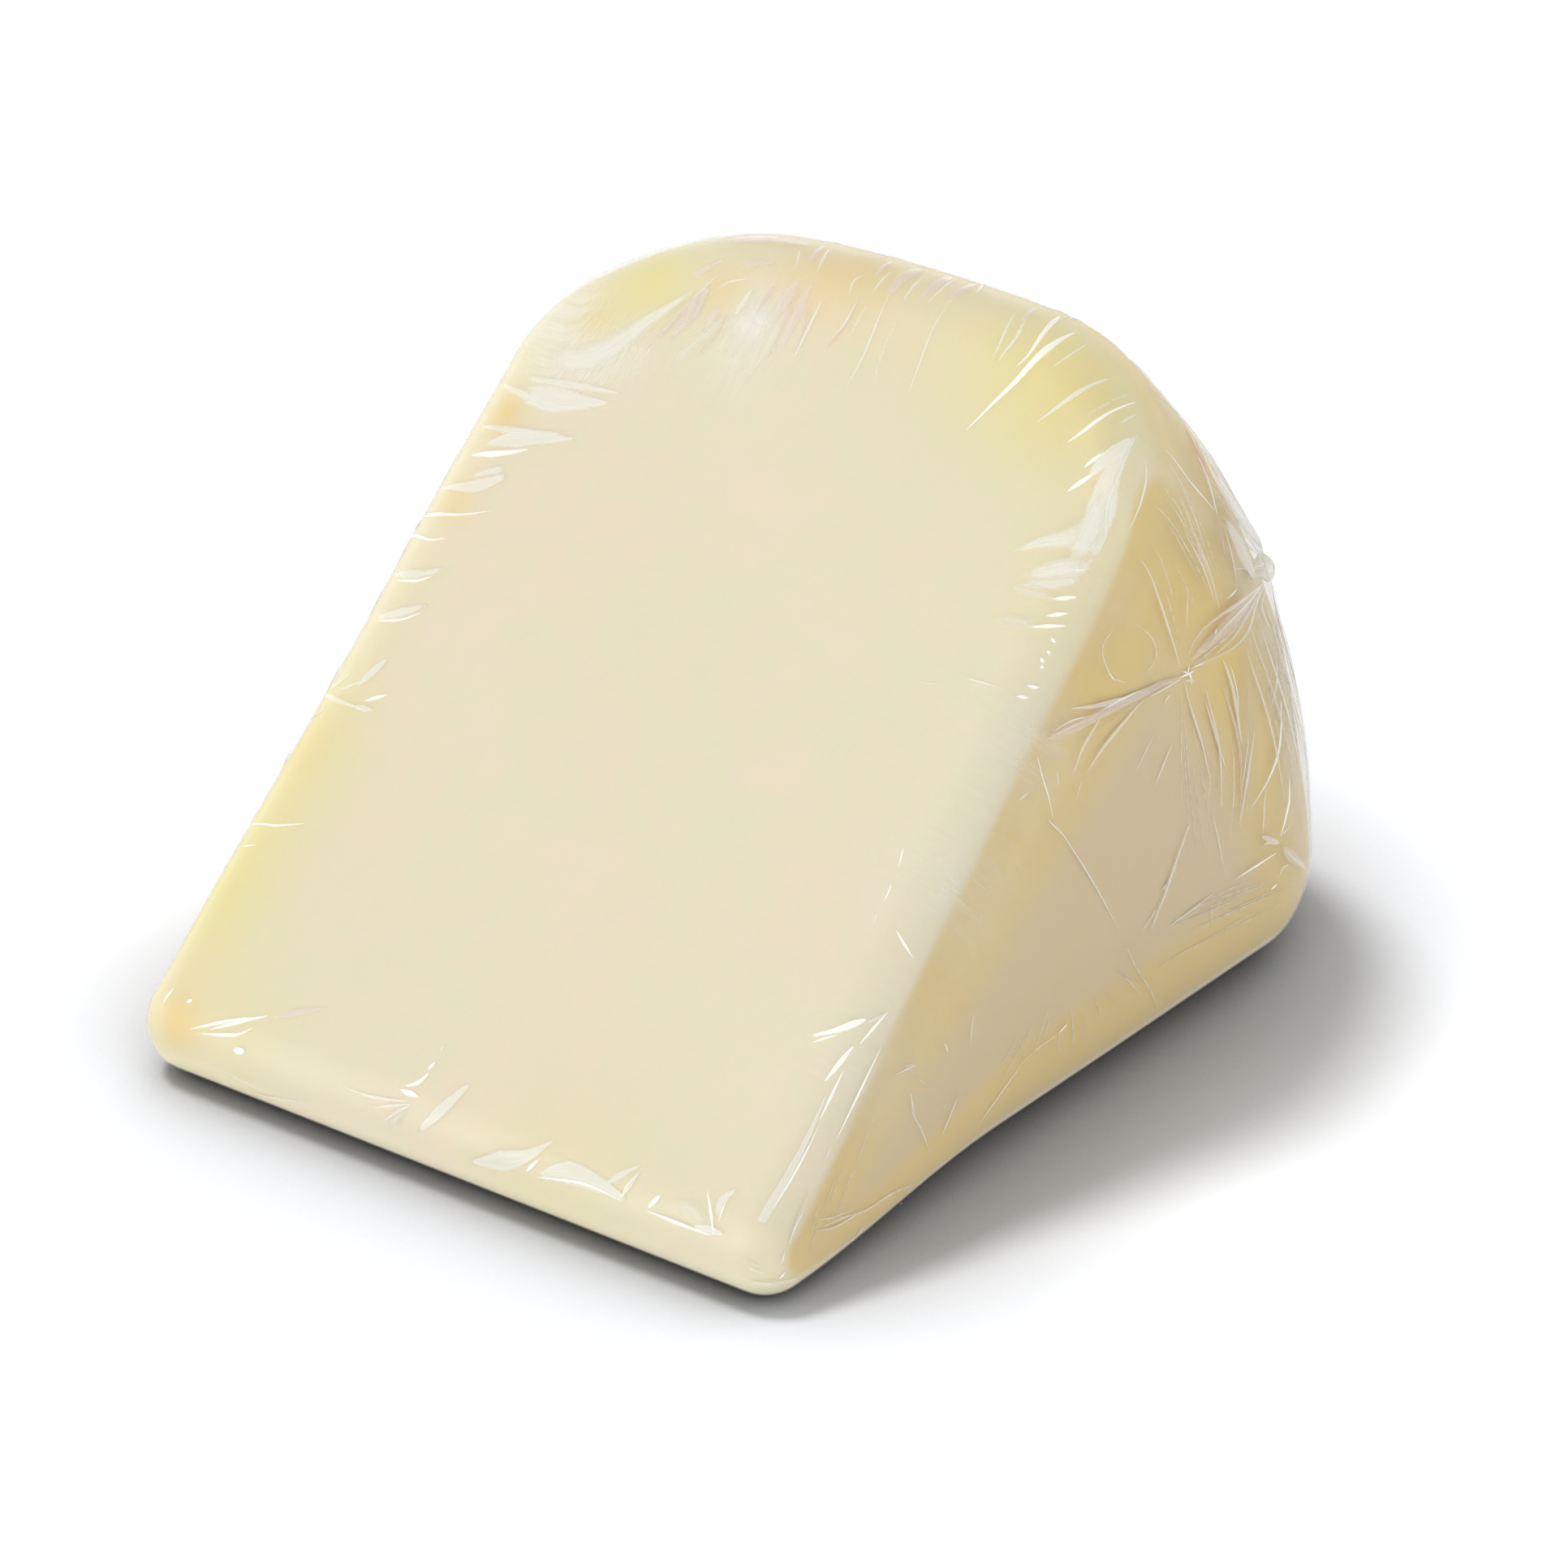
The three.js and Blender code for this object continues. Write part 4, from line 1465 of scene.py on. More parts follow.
    "left_v_low": tuck(0.13, RIDGE, (4.573, -48.1), (4.577, -45.9), (4.567, -44.9)),
    "left_low_line_a": tuck(0.2, SHINE, (4.747, -46.4), (4.75, -42.3), (4.743, -38.4)),
    "left_low_line_b": tuck(0.15, SHINE, (4.75, -47.4), (4.75, -41.7)),
    "left_low_line_c": tuck(0.15, SHINE, (4.783, -45.7), (4.78, -43.4)),
    "left_leaf_a": tuck(0.99, MILK, (4.367, -46.2), (4.383, -41.6), (4.38, -38.4), widest=0.45, point=0.7),
    "left_leaf_a_edge": tuck(0.24, SHINE, (4.383, -44.5), (4.393, -41.4), (4.39, -39.6)),
    "left_leaf_b": tuck(0.99, MILK, (4.44, -44.9), (4.44, -41.4), (4.433, -38), point=0.7),
    "left_leaf_b_edge": tuck(0.24, SHINE, (4.443, -44.5), (4.45, -40.9), (4.443, -38.4)),
    "left_leaf_c": tuck(0.63, SHEET, (4.547, -41.7), (4.507, -39.6)),
    "left_leaf_d": tuck(0.35, SHINE, (4.57, -39.6), (4.56, -36.8)),
    "left_leaf_e": tuck(0.48, SHEET, (4.577, -40.5), (4.583, -37.6)),
    "lip_corner_a": tuck(0.24, SHINE, (5.1, -45.1), (4.99, -44.5)),
    "lip_corner_b": tuck(0.31, SHINE, (5.033, -41.9), (4.997, -41.2)),
    "lip_ray_a": tuck(0.28, SHINE, (5.2, -40.1), (4.993, -32.4)),
    "lip_ray_b": tuck(0.35, SHINE, (5.15, -37.2), (4.983, -30)),
    "lip_ray_c": tuck(0.28, SHINE, (5.2, -38.4), (5.15, -35.2), (5.1, -32.8), (5.017, -31.2)),
    "lip_ray_end": tuck(0.6, PETAL, (4.983, -29.2), (4.95, -22.8), widest=0.4, point=0.7),
    "lip_dot": tuck(0.6, SHINE, (5.233, -33.2), (5.2, -31.2), point=0.5),
    "lip_faint_a": tuck(0.16, FAINT, (5.433, -34.4), (5.467, -29.6)),
    "lip_faint_b": tuck(0.19, FAINT, (5.6, -32.4), (5.433, -22.4)),
    "star_a": tuck(0.24, RIDGE, (5.183, -16), (5.167, -10.8), (5.1, -5.6), widest=0.6),
    "star_b": tuck(0.27, RIDGE, (5.25, -11.2), (5.117, -5.6)),
    "star_c": tuck(0.27, RIDGE, (5.317, -9.2), (5.117, -5.6)),
    "star_d": tuck(0.46, SHINE, (5.05, -8), (5.05, -4.8)),
    "star_e": tuck(0.38, SHINE, (5.017, -7.6), (4.993, -6), (4.977, -5.2)),
    "star_f": tuck(0.31, SHINE, (4.977, -5.6), (4.963, -5.2)),
    "star_g": tuck(0.24, RIDGE, (4.953, -5.2), (4.943, -5.2)),
    "star_veil": tuck(1.06, VEIL, (5.383, -8.4), (5.25, -7.2), (5.15, -5.6)),
    "lip_oval": tuck(0.9, SHEET, (5.283, -3.6), (5.083, -1.2), (4.973, 0.8), point=0.5),
    "lip_kite": tuck(
        1.46, SHEET, (5.367, 4.4), (5.25, 9.6), (5.15, 12.8), (4.997, 15.6), widest=0.4, point=0.8
    ),
    "lip_kite_tail": tuck(0.31, SHINE, (5.283, 12.8), (5.15, 14.4)),
    "lip_band": tuck(
        1.67, SHEET, (5.283, 14.4), (5.167, 18.8), (5.167, 23.6), (5.2, 28),
        widest=0.35, end=0.15, point=0.75
    ),
    "lip_band_edge": tuck(0.2, SHINE, (5.283, 14.4), (5.2, 21.6), (5.217, 27.6)),
    "lip_tooth_a": tuck(0.59, SHEET, (5.15, 24.4), (4.987, 28), widest=0.4, point=0.9),
    "lip_tooth_b": tuck(0.49, SHEET, (5.2, 27.2), (4.993, 28.4), widest=0.4, point=0.9),
    "lip_frame_a": tuck(0.44, SHINE, (5.2, 31.2), (5.067, 32.4)),
    "lip_frame_b": tuck(0.28, SHINE, (5.217, 31.2), (5.217, 40.6)),
    "lip_frame_fill": tuck(1.32, VEIL, (5.117, 34), (5.083, 36.8), (5.167, 40.9), start=0.2, end=0.2),
    "lip_frame_tip": tuck(0.7, SHEET, (5.2, 38), (5.167, 42.6)),
    "lip_frame_c": tuck(0.2, SHINE, (4.987, 38), (5.067, 40), (5.217, 41.4)),
    "lip_leaf": tuck(0.79, MILK, (5.083, 41), (4.99, 40.6), (4.97, 42)),
    "lip_leaf_edge": tuck(0.17, SHINE, (5.1, 41.3), (4.983, 40.9)),
    "nose_branch": tuck(
        0.54, SHINE, (4.77, 41.1), (4.747, 43.6), (4.713, 45.9), widest=0.75, start=0.3, point=0.8
    ),
    "nose_branch_low": tuck(0.19, SHINE, (4.777, 41.5), (4.75, 44)),
    "nose_branch_tip": tuck(0.19, RIDGE, (4.72, 46), (4.69, 47.3)),
    "nose_step_a": tuck(0.22, SHINE, (4.747, 46.4), (4.69, 47.2)),
    "nose_step_b": tuck(0.4, SHINE, (4.81, 45.2), (4.75, 46), widest=0.55),
    "nose_streak": tuck(
        0.66, SHEET, (5, 46.4), (4.937, 46.6), (4.883, 46.5), (4.82, 46),
        widest=0.15, start=0.85, end=0.15, point=0.9
    ),
    "nose_streak_edge": tuck(0.16, SHINE, (4.98, 46.9), (4.92, 47.1), (4.86, 46.9)),
    "nose_streak_side": tuck(0.22, SHINE, (4.853, 46.7), (4.783, 46.3)),
    "nose_line": tuck(0.17, SHINE, (4.86, 48.7), (4.73, 48.1)),
    "nose_line_foot": tuck(0.15, RIDGE, (4.893, 48.8), (4.867, 48.6)),
    "tip_crease": tuck(0.2, RIDGE, (4.957, 49.2), (4.977, 49.2), (5.067, 49.4)),
    "tip_crease_low": tuck(0.2, RIDGE, (5.15, 49.3), (5.383, 49.1)),
    "tip_tick": tuck(0.2, SHINE, (5.567, 48.7), (5.483, 49.4)),
    "tip_crinkle_a": tuck(0.2, FAINT, (5.3, 45.5), (5.317, 46.4), (5.35, 47.3)),
    "tip_crinkle_b": tuck(0.18, FAINT, (5.35, 46.1), (5.383, 46.8), (5.433, 48)),
    "tip_blush": tuck(0.8, VEIL, (5.483, 45.6), (5.567, 48.1), (5.867, 49.6)),
    "nose_rose": tuck(0.22, BLUSH, (5.017, 49.3), (4.933, 48.8)),
}

KNOT = (2.845, 50.26)
SIDE_FOLDS: dict[str, Fold] = {
    "nose_glint": tuck(0.24, SHINE, (0.21, 47.8), (0.215, 47.8)),
    "nose_foot_line": tuck(0.14, RIDGE, (0.105, 48.9), (0.11, 49.5), (0.12, 49.7)),
    "nose_crease_a": tuck(0.22, FAINT, (4.97, 50.03), (0.095, 50.03), (0.18, 49.9), (0.24, 48.9)),
    "nose_crease_b": tuck(0.19, FAINT, (4.98, 50.03), (0.045, 50.08)),
    "nose_glint_low": tuck(0.18, SHINE, (0.105, 48.9), (0.115, 49.7)),
    "nose_crinkle_a": tuck(0.2, PETAL, (4.97, 50), (0.005, 50.08), (0.08, 50.05)),
    "nose_crinkle_b": tuck(0.16, FAINT, (4.96, 49.9), (4.987, 50.07), (0.015, 50.12)),
    "nose_tick_a": tuck(0.14, RIDGE, (4.78, 50.07), (4.9, 50.23)),
    "nose_tick_b": tuck(0.31, PETAL, (4.733, 49.8), (4.717, 50)),
    "main_pleat": tuck(
        0.89, BLUSH, (4.283, 48.8), (4.213, 50), (4.09, 50.25), (2.969, 50.35), (2.844, 50.27),
        widest=0.35, start=0.6, end=0.3, height=0.24
    ),
    "main_pleat_top": tuck(0.5, PETAL, (4.23, 49.2), (4.183, 50.03), (4.087, 50.25), (2.988, 50.35)),
    "main_pleat_line": tuck(0.18, SHINE, (4.213, 50), (4.147, 50.13), (4.023, 50.33), height=0.28),
    "main_pleat_line_b": tuck(0.18, RIDGE, (4.283, 48.8), (4.243, 49.7), (4.187, 50.07)),
    "main_pleat_line_c": tuck(0.14, RIDGE, (4.27, 48.9), (4.237, 49.6), (4.207, 50)),
    "main_pleat_line_d": tuck(0.14, RIDGE, (4.02, 50.37), (2.844, 50.27)),
    "crease_a": tuck(0.36, PETAL, (4.277, 50.08), (4.243, 50.05), (4.19, 50.07), height=0.21),
    "crease_b": tuck(0.43, PETAL, (4.257, 50.18), (4.187, 50.22), (4.053, 50.33), height=0.21),
    "crease_c": tuck(0.14, FAINT, (4.09, 50.55), (2.988, 50.52)),
    "crease_d": tuck(0.16, RIDGE, (2.9, 50.67), (2.806, 50.48)),
    "crease_e": tuck(0.14, FAINT, (4.297, 50.2), (4.273, 50.17)),
    "crease_f": tuck(0.14, RIDGE, (2.925, 50.4), (2.925, 50.38), (2.894, 50.35)),
    "crease_g": tuck(0.14, RIDGE, (4.153, 49.9), (4.143, 50.05)),
    "knot_a": tuck(0.18, SHINE, (2.863, 50.28), (2.781, 50.2)),
    "knot_b": tuck(0.18, SHINE, (2.85, 50.25), (2.8, 50.23), (2.769, 50.25)),
    "knot_c": tuck(0.15, SHINE, (2.819, 50.2), (2.813, 50.25)),
    "knot_d": tuck(0.15, SHINE, (2.794, 50.2), (2.713, 50.1)),
    "knot_e": tuck(0.25, PETAL, (2.831, 50.27), (2.756, 50.22)),
    "knot_drop": tuck(
        0.29, PETAL, (2.831, 50.27), (2.725, 50.32), (2.594, 50.35), (2.463, 50.38), height=0.21
    ),
    "knot_drop_low": tuck(0.14, FAINT, (2.588, 50.37), (2.456, 50.38), (2.356, 50.45)),
    "knot_fall": tuck(0.29, PETAL, (2.681, 50.23), (2.4, 50.27), height=0.21),
    "rim_band_a": tuck(0.43, PETAL, (2.669, 50.05), (2.569, 50.07), (2.419, 50.13), height=0.24),
    "rim_band_b": tuck(0.16, RIDGE, (2.625, 50.02), (2.538, 50.05), (2.463, 50.12)),
    "rim_fall_a": tuck(0.3, PETAL, (2.6, 47.2), (2.4, 47), (2.2, 46.8), height=0.2),
    "rim_fall_b": tuck(0.22, RIDGE, (2.58, 48.6), (2.38, 48.6), (2.17, 48.4), height=0.2),
    "rim_fall_c": tuck(0.4, BLUSH, (2.62, 49.3), (2.42, 49.3), (2.2, 49.2), height=0.2),
    "rim_fall_d": tuck(0.25, PETAL, (2.6, 49.8), (2.4, 49.85), (2.2, 49.9), height=0.2),
    "rim_fall_e": tuck(0.35, BLUSH, (2.64, 50.1), (2.42, 50.15), (2.22, 50.25), height=0.2),
    "rim_fall_f": tuck(0.25, PETAL, (2.7, 50.2), (2.5, 50.27), (2.3, 50.37), height=0.2),
    "rim_band_c": tuck(0.18, RIDGE, (2.481, 48.1), (2.45, 48.6), (2.413, 49.7), height=0.24),
    "rim_curve": tuck(
        0.21, SHINE, (2.394, 48.8), (2.319, 49.7), (2.269, 50.02), (2.225, 50.17), height=0.28
    ),
    "rim_curve_low": tuck(0.23, SHINE, (2.225, 49.6), (2.175, 49.8), (2.113, 50), height=0.21),
    "rim_band_d": tuck(0.33, PETAL, (2.413, 50.02), (2.188, 50.27)),
    "rim_band_e": tuck(0.14, RIDGE, (2.413, 50.07), (2.275, 50.23)),
    "rim_band_f": tuck(0.25, PETAL, (2.256, 50.05), (2.131, 50.12)),
    "rim_band_g": tuck(0.16, FAINT, (2.325, 50.43), (2.013, 50.4)),
    "rim_band_h": tuck(0.16, FAINT, (2.469, 50.17), (2.325, 50.25), (2.156, 50.35)),
    "rim_mist_a": tuck(
        4.2, MIST, (2.656, 49.5), (2.438, 50.03), (2.181, 50.2), start=0.3, end=0.3, height=0.04
    ),
    "rim_mist_b": tuck(4, MIST, (2.425, 47), (2.269, 48.8), (2.113, 49.4), start=0.3, end=0.3, height=0.04),
    "low_knot": tuck(0.5, PETAL, (2.131, 50.13), (2.094, 50), point=0.5),
    "low_knot_line": tuck(0.18, SHINE, (2.013, 50.33), (2.075, 50.03)),
    "low_knot_fan_a": tuck(0.29, PETAL, (2.1, 50.13), (2.106, 50.08), (2.094, 50.02)),
    "low_knot_fan_b": tuck(0.14, RIDGE, (2.113, 50), (2.113, 49.9), (2.125, 49.8)),
    "low_knot_fan_c": tuck(0.14, RIDGE, (2.013, 50.02), (2.031, 50), (2.031, 49.9)),
    "low_knot_tick": tuck(0.21, SHINE, (1.325, 50.07), (1.875, 50.03)),
    "side_tick_a": tuck(0.13, RIDGE, (4.697, 50.23), (4.747, 50.28), (4.817, 50.35)),
    "side_tick_b": tuck(0.13, RIDGE, (0.435, 50), (0.395, 49.9), (0.35, 49.4)),
    "side_tick_c": tuck(0.13, RIDGE, (0.03, 50.42), (0.145, 50.27), (0.27, 50)),
    "side_tick_d": tuck(0.2, FAINT, (4.79, 50.08), (4.9, 50.23), (0.02, 50.32), (0.25, 49.9)),
    "side_tick_e": tuck(0.24, PETAL, (4.747, 49.7), (4.733, 49.9), (4.717, 50), height=0.2),
    "side_tick_f": tuck(0.14, RIDGE, (4.717, 50.12), (4.763, 50.2)),
    "side_tick_g": tuck(0.16, SHINE, (0.515, 50.12), (0.5, 50.08)),
    "side_tick_h": tuck(0.12, FAINT, (0.5, 50.08), (0.46, 50.07), (0.425, 50.03)),
    "side_tick_i": tuck(0.12, RIDGE, (4.27, 50.17), (4.297, 50.2)),
    "side_tick_j": tuck(0.12, RIDGE, (4.297, 49.9), (4.307, 50.02)),
    "side_tick_k": tuck(0.12, RIDGE, (4.347, 49.3), (4.367, 49)),
    "low_crease": tuck(0.18, RIDGE, (0.795, 50.4), (0.985, 50.43), height=0.24),
    "low_crease_b": tuck(0.16, FAINT, (0.87, 50.13), (0.975, 50.42)),
    "low_crease_c": tuck(
        0.43, FAINT, (0.73, 50.47), (0.91, 50.75), (2.244, 50.72), (2.4, 50.57), height=0.21
    ),
    "low_crease_d": tuck(0.29, PETAL, (0.925, 50.8), (2.013, 50.8), (2.1, 50.77)),
    "low_crease_e": tuck(0.19, FAINT, (0.7, 50.52), (0.885, 50.72)),
    "long_line_top": tuck(0.14, RIDGE, (4.307, 48.7), (4.323, 49.7), (4.347, 50.1), height=0.21),
    "long_line": tuck(0.14, RIDGE, (4.35, 50.1), (4.363, 50.27), (4.44, 50.62), (0.56, 50.67), height=0.24),
    "long_line_foot": tuck(0.16, FAINT, (0.615, 50.55), (0.685, 50.18), (0.735, 48.8), height=0.2),
    "long_line_fray": tuck(0.14, RIDGE, (4.353, 50.05), (4.36, 50.23)),
    "edge_film": tuck(1.25, LILAC, (2.356, 42.8), (2.213, 44), (2.094, 44.8), point=0.5),
    "edge_film_low": tuck(1.03, VEIL, (2.088, 50), (2.038, 49.8), (1.85, 48.5), widest=0.3),
    "sail": tuck(
        2.06, LILAC, (2.894, 39.2), (2.85, 43.3), (2.744, 43.7), (2.575, 40.3),
        widest=0.55, point=0.7, height=0.35
    ),
    "sail_low": tuck(2.13, LILAC, (2.838, 46.2), (2.656, 46.9)),
    "ridge_dark": tuck(
        0.3, ROSE_RIDGE, (2.931, 39.2), (2.925, 41.8), (2.906, 42.9), (2.881, 46), height=0.42
    ),
    "ridge_dark_b": tuck(0.17, ROSE_RIDGE, (2.913, 39.2), (2.913, 41.7), (2.9, 43)),
    "ridge_light": tuck(
        0.15, RIDGE, (2.925, 41.9), (2.906, 43.8), (2.881, 45.9), (2.863, 46.7), height=0.28
    ),
    "double_line_a": tuck(0.18, RIDGE, (3.283, 44.5), (2.981, 46.1), (2.869, 46.4), height=0.24),
    "double_line_b": tuck(0.15, FAINT, (3.233, 44.5), (3, 45.9), (2.919, 46.2)),
    "ridge_tail": tuck(0.24, ROSE_RIDGE, (2.869, 46.7), (2.819, 48.4), height=0.24),
    "ridge_tail_b": tuck(0.24, PETAL, (2.838, 46.7), (2.738, 48.7)),
    "rosy_band": tuck(0.58, BLUSH, (3.167, 47.8), (2.944, 49.1), (2.856, 49.6), (2.763, 49.9), height=0.21),
    "rosy_band_line": tuck(0.24, PETAL, (2.988, 49.2), (2.888, 49.6), (2.788, 49.9), height=0.21),
    "rosy_band_b": tuck(0.38, BLUSH, (3.133, 46.9), (2.9, 49.1)),
    "side_ring_left": tuck(0.15, FAINT, (4.1, 49.5), (4.14, 49.4), (4.15, 50), (4.097, 50.18)),
    "side_ring_right": tuck(0.13, FAINT, (4.08, 49.9), (4.017, 50.18), (4, 50.28), (4.063, 50.23)),
    "side_line": tuck(0.29, PETAL, (4.017, 49.1), (4.01, 50.05), (2.869, 50.25), height=0.24),
    "lens_left": tuck(0.33, PETAL, (2.844, 50.2), (2.806, 50.08), (2.738, 49.8), (2.625, 46), height=0.35),
    "lens_mid": tuck(0.18, RIDGE, (2.769, 50.13), (2.725, 50), (2.694, 49.4), (2.638, 46.6), height=0.42),
    "lens_right": tuck(
        0.29, PETAL, (2.719, 50.1), (2.669, 49.9), (2.663, 49.3), (2.638, 47.1), height=0.35
    ),
    "lens_outer": tuck(
        0.18, RIDGE, (2.775, 50.18), (2.656, 50), (2.631, 49.5), (2.638, 48.2), (2.625, 46), height=0.35
    ),
    "lens_fill": tuck(
        1.93, BLUSH, (2.825, 50.2), (2.731, 50.03), (2.688, 49.3), (2.625, 46), point=0.7, height=0.21
    ),
    "lens_glint": tuck(0.23, SHINE, (2.731, 50.03), (2.738, 50)),
    "lens_tick": tuck(0.18, RIDGE, (2.756, 49.6), (2.731, 48.9)),
    "knob_ray_a": tuck(0.14, RIDGE, (2.694, 46.9), (2.6, 42.8)),
    "knob_ray_b": tuck(0.18, FAINT, (2.744, 45.1), (2.694, 44.9), (2.588, 41.7)),
    "knob_fall_a": tuck(0.38, VEIL, (2.619, 45.9), (2.613, 47.8), (2.538, 47.7)),
    "knob_fall_b": tuck(
        0.36, PETAL, (2.581, 44.1), (2.494, 44.4), (2.375, 42.7), (2.319, 43.8), height=0.21
    ),
    "knob_fall_c": tuck(0.18, RIDGE, (2.613, 45.7), (2.513, 45.6), (2.45, 46.7)),
    "crease_low_a": tuck(0.22, FAINT, (2.906, 50), (2.881, 50.12)),
    "crease_low_b": tuck(0.18, FAINT, (3.967, 50.23), (3.7, 50.28)),
}

BACK_FOLDS: dict[str, Fold | StreakFan] = {
    "left_side_front": StreakFan(4.35, -50.05, -70, 9, 0.4, MILK, 7, down=8, turn=6),
    "left_side_foot": StreakFan(0.5, -49.8, 80, 9, 0.35, RIDGE, 8, down=9, turn=4),
    "rim_veil_a": tuck(1.5, VEIL, (2.9, -33), (2.6, -34.5), (2.3, -32), widest=0.4),
    "rim_veil_b": tuck(2.2, VEIL, (2.78, -17), (2.42, -15), widest=0.6),
    "rim_veil_c": tuck(1.4, VEIL, (2.96, 2), (2.7, 0.5), (2.38, 3), widest=0.3),
    "rim_veil_d": tuck(2.1, VEIL, (2.62, 23), (2.25, 20)),
    "rim_veil_e": tuck(1.7, VEIL, (2.2, -6), (1.9, -8)),
    "rim_slip_a": tuck(0.5, PETAL, (2.85, -25), (2.5, -24), widest=0.3),
    "rim_slip_b": tuck(0.45, PETAL, (2.7, 9), (2.3, 11), widest=0.6),
    "floor_seam": StreakFan(0.5, -6, 10, 34, 1.4, PETAL, 3, down=9, turn=5),
    "floor_gather": StreakFan(0.3, 4, 90, 26, 0.4, RIDGE, 11, out=5, turn=7),
}


@dataclass
class FilmFolds:
    """Thin humped strips of film along their trails, whose finish paints white sheen and highlights on
    them.
    """

    maker: TrailMaker
    name: str
    rows: int = 5
    lift: float = 0.03
    max_layers: int = 6
    layer_step: int = 7
    pattern_step: float = 13.7
    seeds: float = 60.0
    vary: Pair = (0.6, 1.4)
    points: list[Array] = field(default_factory=list)
    faces: list[Face] = field(default_factory=list)
    attributes: dict[str, list[object]] = field(
        default_factory=lambda: {"track": [], "lay": [], "look": [], "combing": []}
    )

    def strip(self, trail: Trail, fold: Fold | StreakFan, width: float, seed: float) -> None:
        """Adds one strip.

        Args:
            trail: Its path.
            fold: Its outline and looks.
            width: Half its width at the widest.
            seed: Sets its own pattern.
        """
        count = len(trail.points)
        first = len(self.points)
        gone = 0.0
        layer = self.lift * (1 + int(seed * self.layer_step) % self.max_layers)
        widths = trail.length() / width
        for i, (at, normal) in enumerate(zip(trail.points, trail.normals)):
            if i:
                gone += (at - trail.points[i - 1]).length
            along = (trail.points[min(i + 1, count - 1)] - trail.points[max(i - 1, 0)]).normalized()
            aside = normal.cross(along).normalized()
            u = i / (count - 1)
            swell = fold.swell(u)
            for j in range(self.rows):
                v = 2 * j / (self.rows - 1) - 1
                foot, up = self.maker.film.snap(at + aside * (v * width * swell))
                rise = layer + fold.height * swell * (1 - v * v)
                self.points.append(np.array(foot + up * rise))
                track = (gone, v * width, seed * self.pattern_step)
                vertex = (track, (u, v, widths), fold.look.shown(), fold.look.combing)
                for values, value in zip(self.attributes.values(), vertex):
                    values.append(value)
        for i in range(count - 1):
            for j in range(self.rows - 1):
                a = first + i * self.rows + j
                self.faces.append((a, a + self.rows, a + self.rows + 1, a + 1))

    def lay_out(self, folds: dict[str, Fold | StreakFan], seed: int) -> None:
        """Adds the strips of named folds.

        Args:
            folds: The folds.
            seed: For what differs from strip to strip.
        """
        rng = np.random.default_rng(seed)
        for fold in folds.values():
            trails = fold.trails(self.maker, rng)
            for trail in trails:
                vary = rng.uniform(*self.vary) if len(trails) > 1 else 1.0
                self.strip(trail, fold, fold.width * vary, float(rng.uniform(0, self.seeds)))

    def build(self, material: Material) -> None:
        """Makes the piece.

        Args:
            material: Its finish.
        """
        piece = new_object(self.name, np.array(self.points), self.faces, material)
        store(piece.data, **self.attributes)
        attach(piece)


@dataclass(frozen=True)
class ThreadBand:
    """Fine tension lines side by side, between two rows of places on the film."""

    starts: tuple[Pair, Pair]
    ends: tuple[Pair, Pair]
    count: int
    thickness: float = 0.055
    stray: float = 0.08
    longest: float = 1.0
    shortest: float = 0.35
    slot: Pair = (0.1, 0.9)

    def trails(self, maker: TrailMaker, rng: np.random.Generator) -> list[Trail]:
        """Lays out the lines.

        Args:
            maker: Finds paths over the film.
            rng: For what differs from line to line.

        Returns:
            One path for each.
        """
        starts = np.array(self.starts)
        ends = np.array(self.ends)
        found = []
        for i in range(self.count):
            share = (i + rng.uniform(*self.slot)) / self.count
            end_share = np.clip(share + rng.uniform(-1, 1) * self.stray, 0, 1)
            start = starts[0] + (starts[1] - starts[0]) * share
            end = ends[0] + (ends[1] - ends[0]) * end_share
            whole = maker.through((tuple(start), tuple(end)))
            count = len(whole.points)
            reach = max(FEWEST_STEPS, round(count * rng.uniform(self.shortest, self.longest)))
            first = int(rng.uniform(0, max(0, count - reach)))
            part = slice(first, first + reach)
            found.append(Trail(whole.points[part], whole.normals[part]))
        return found


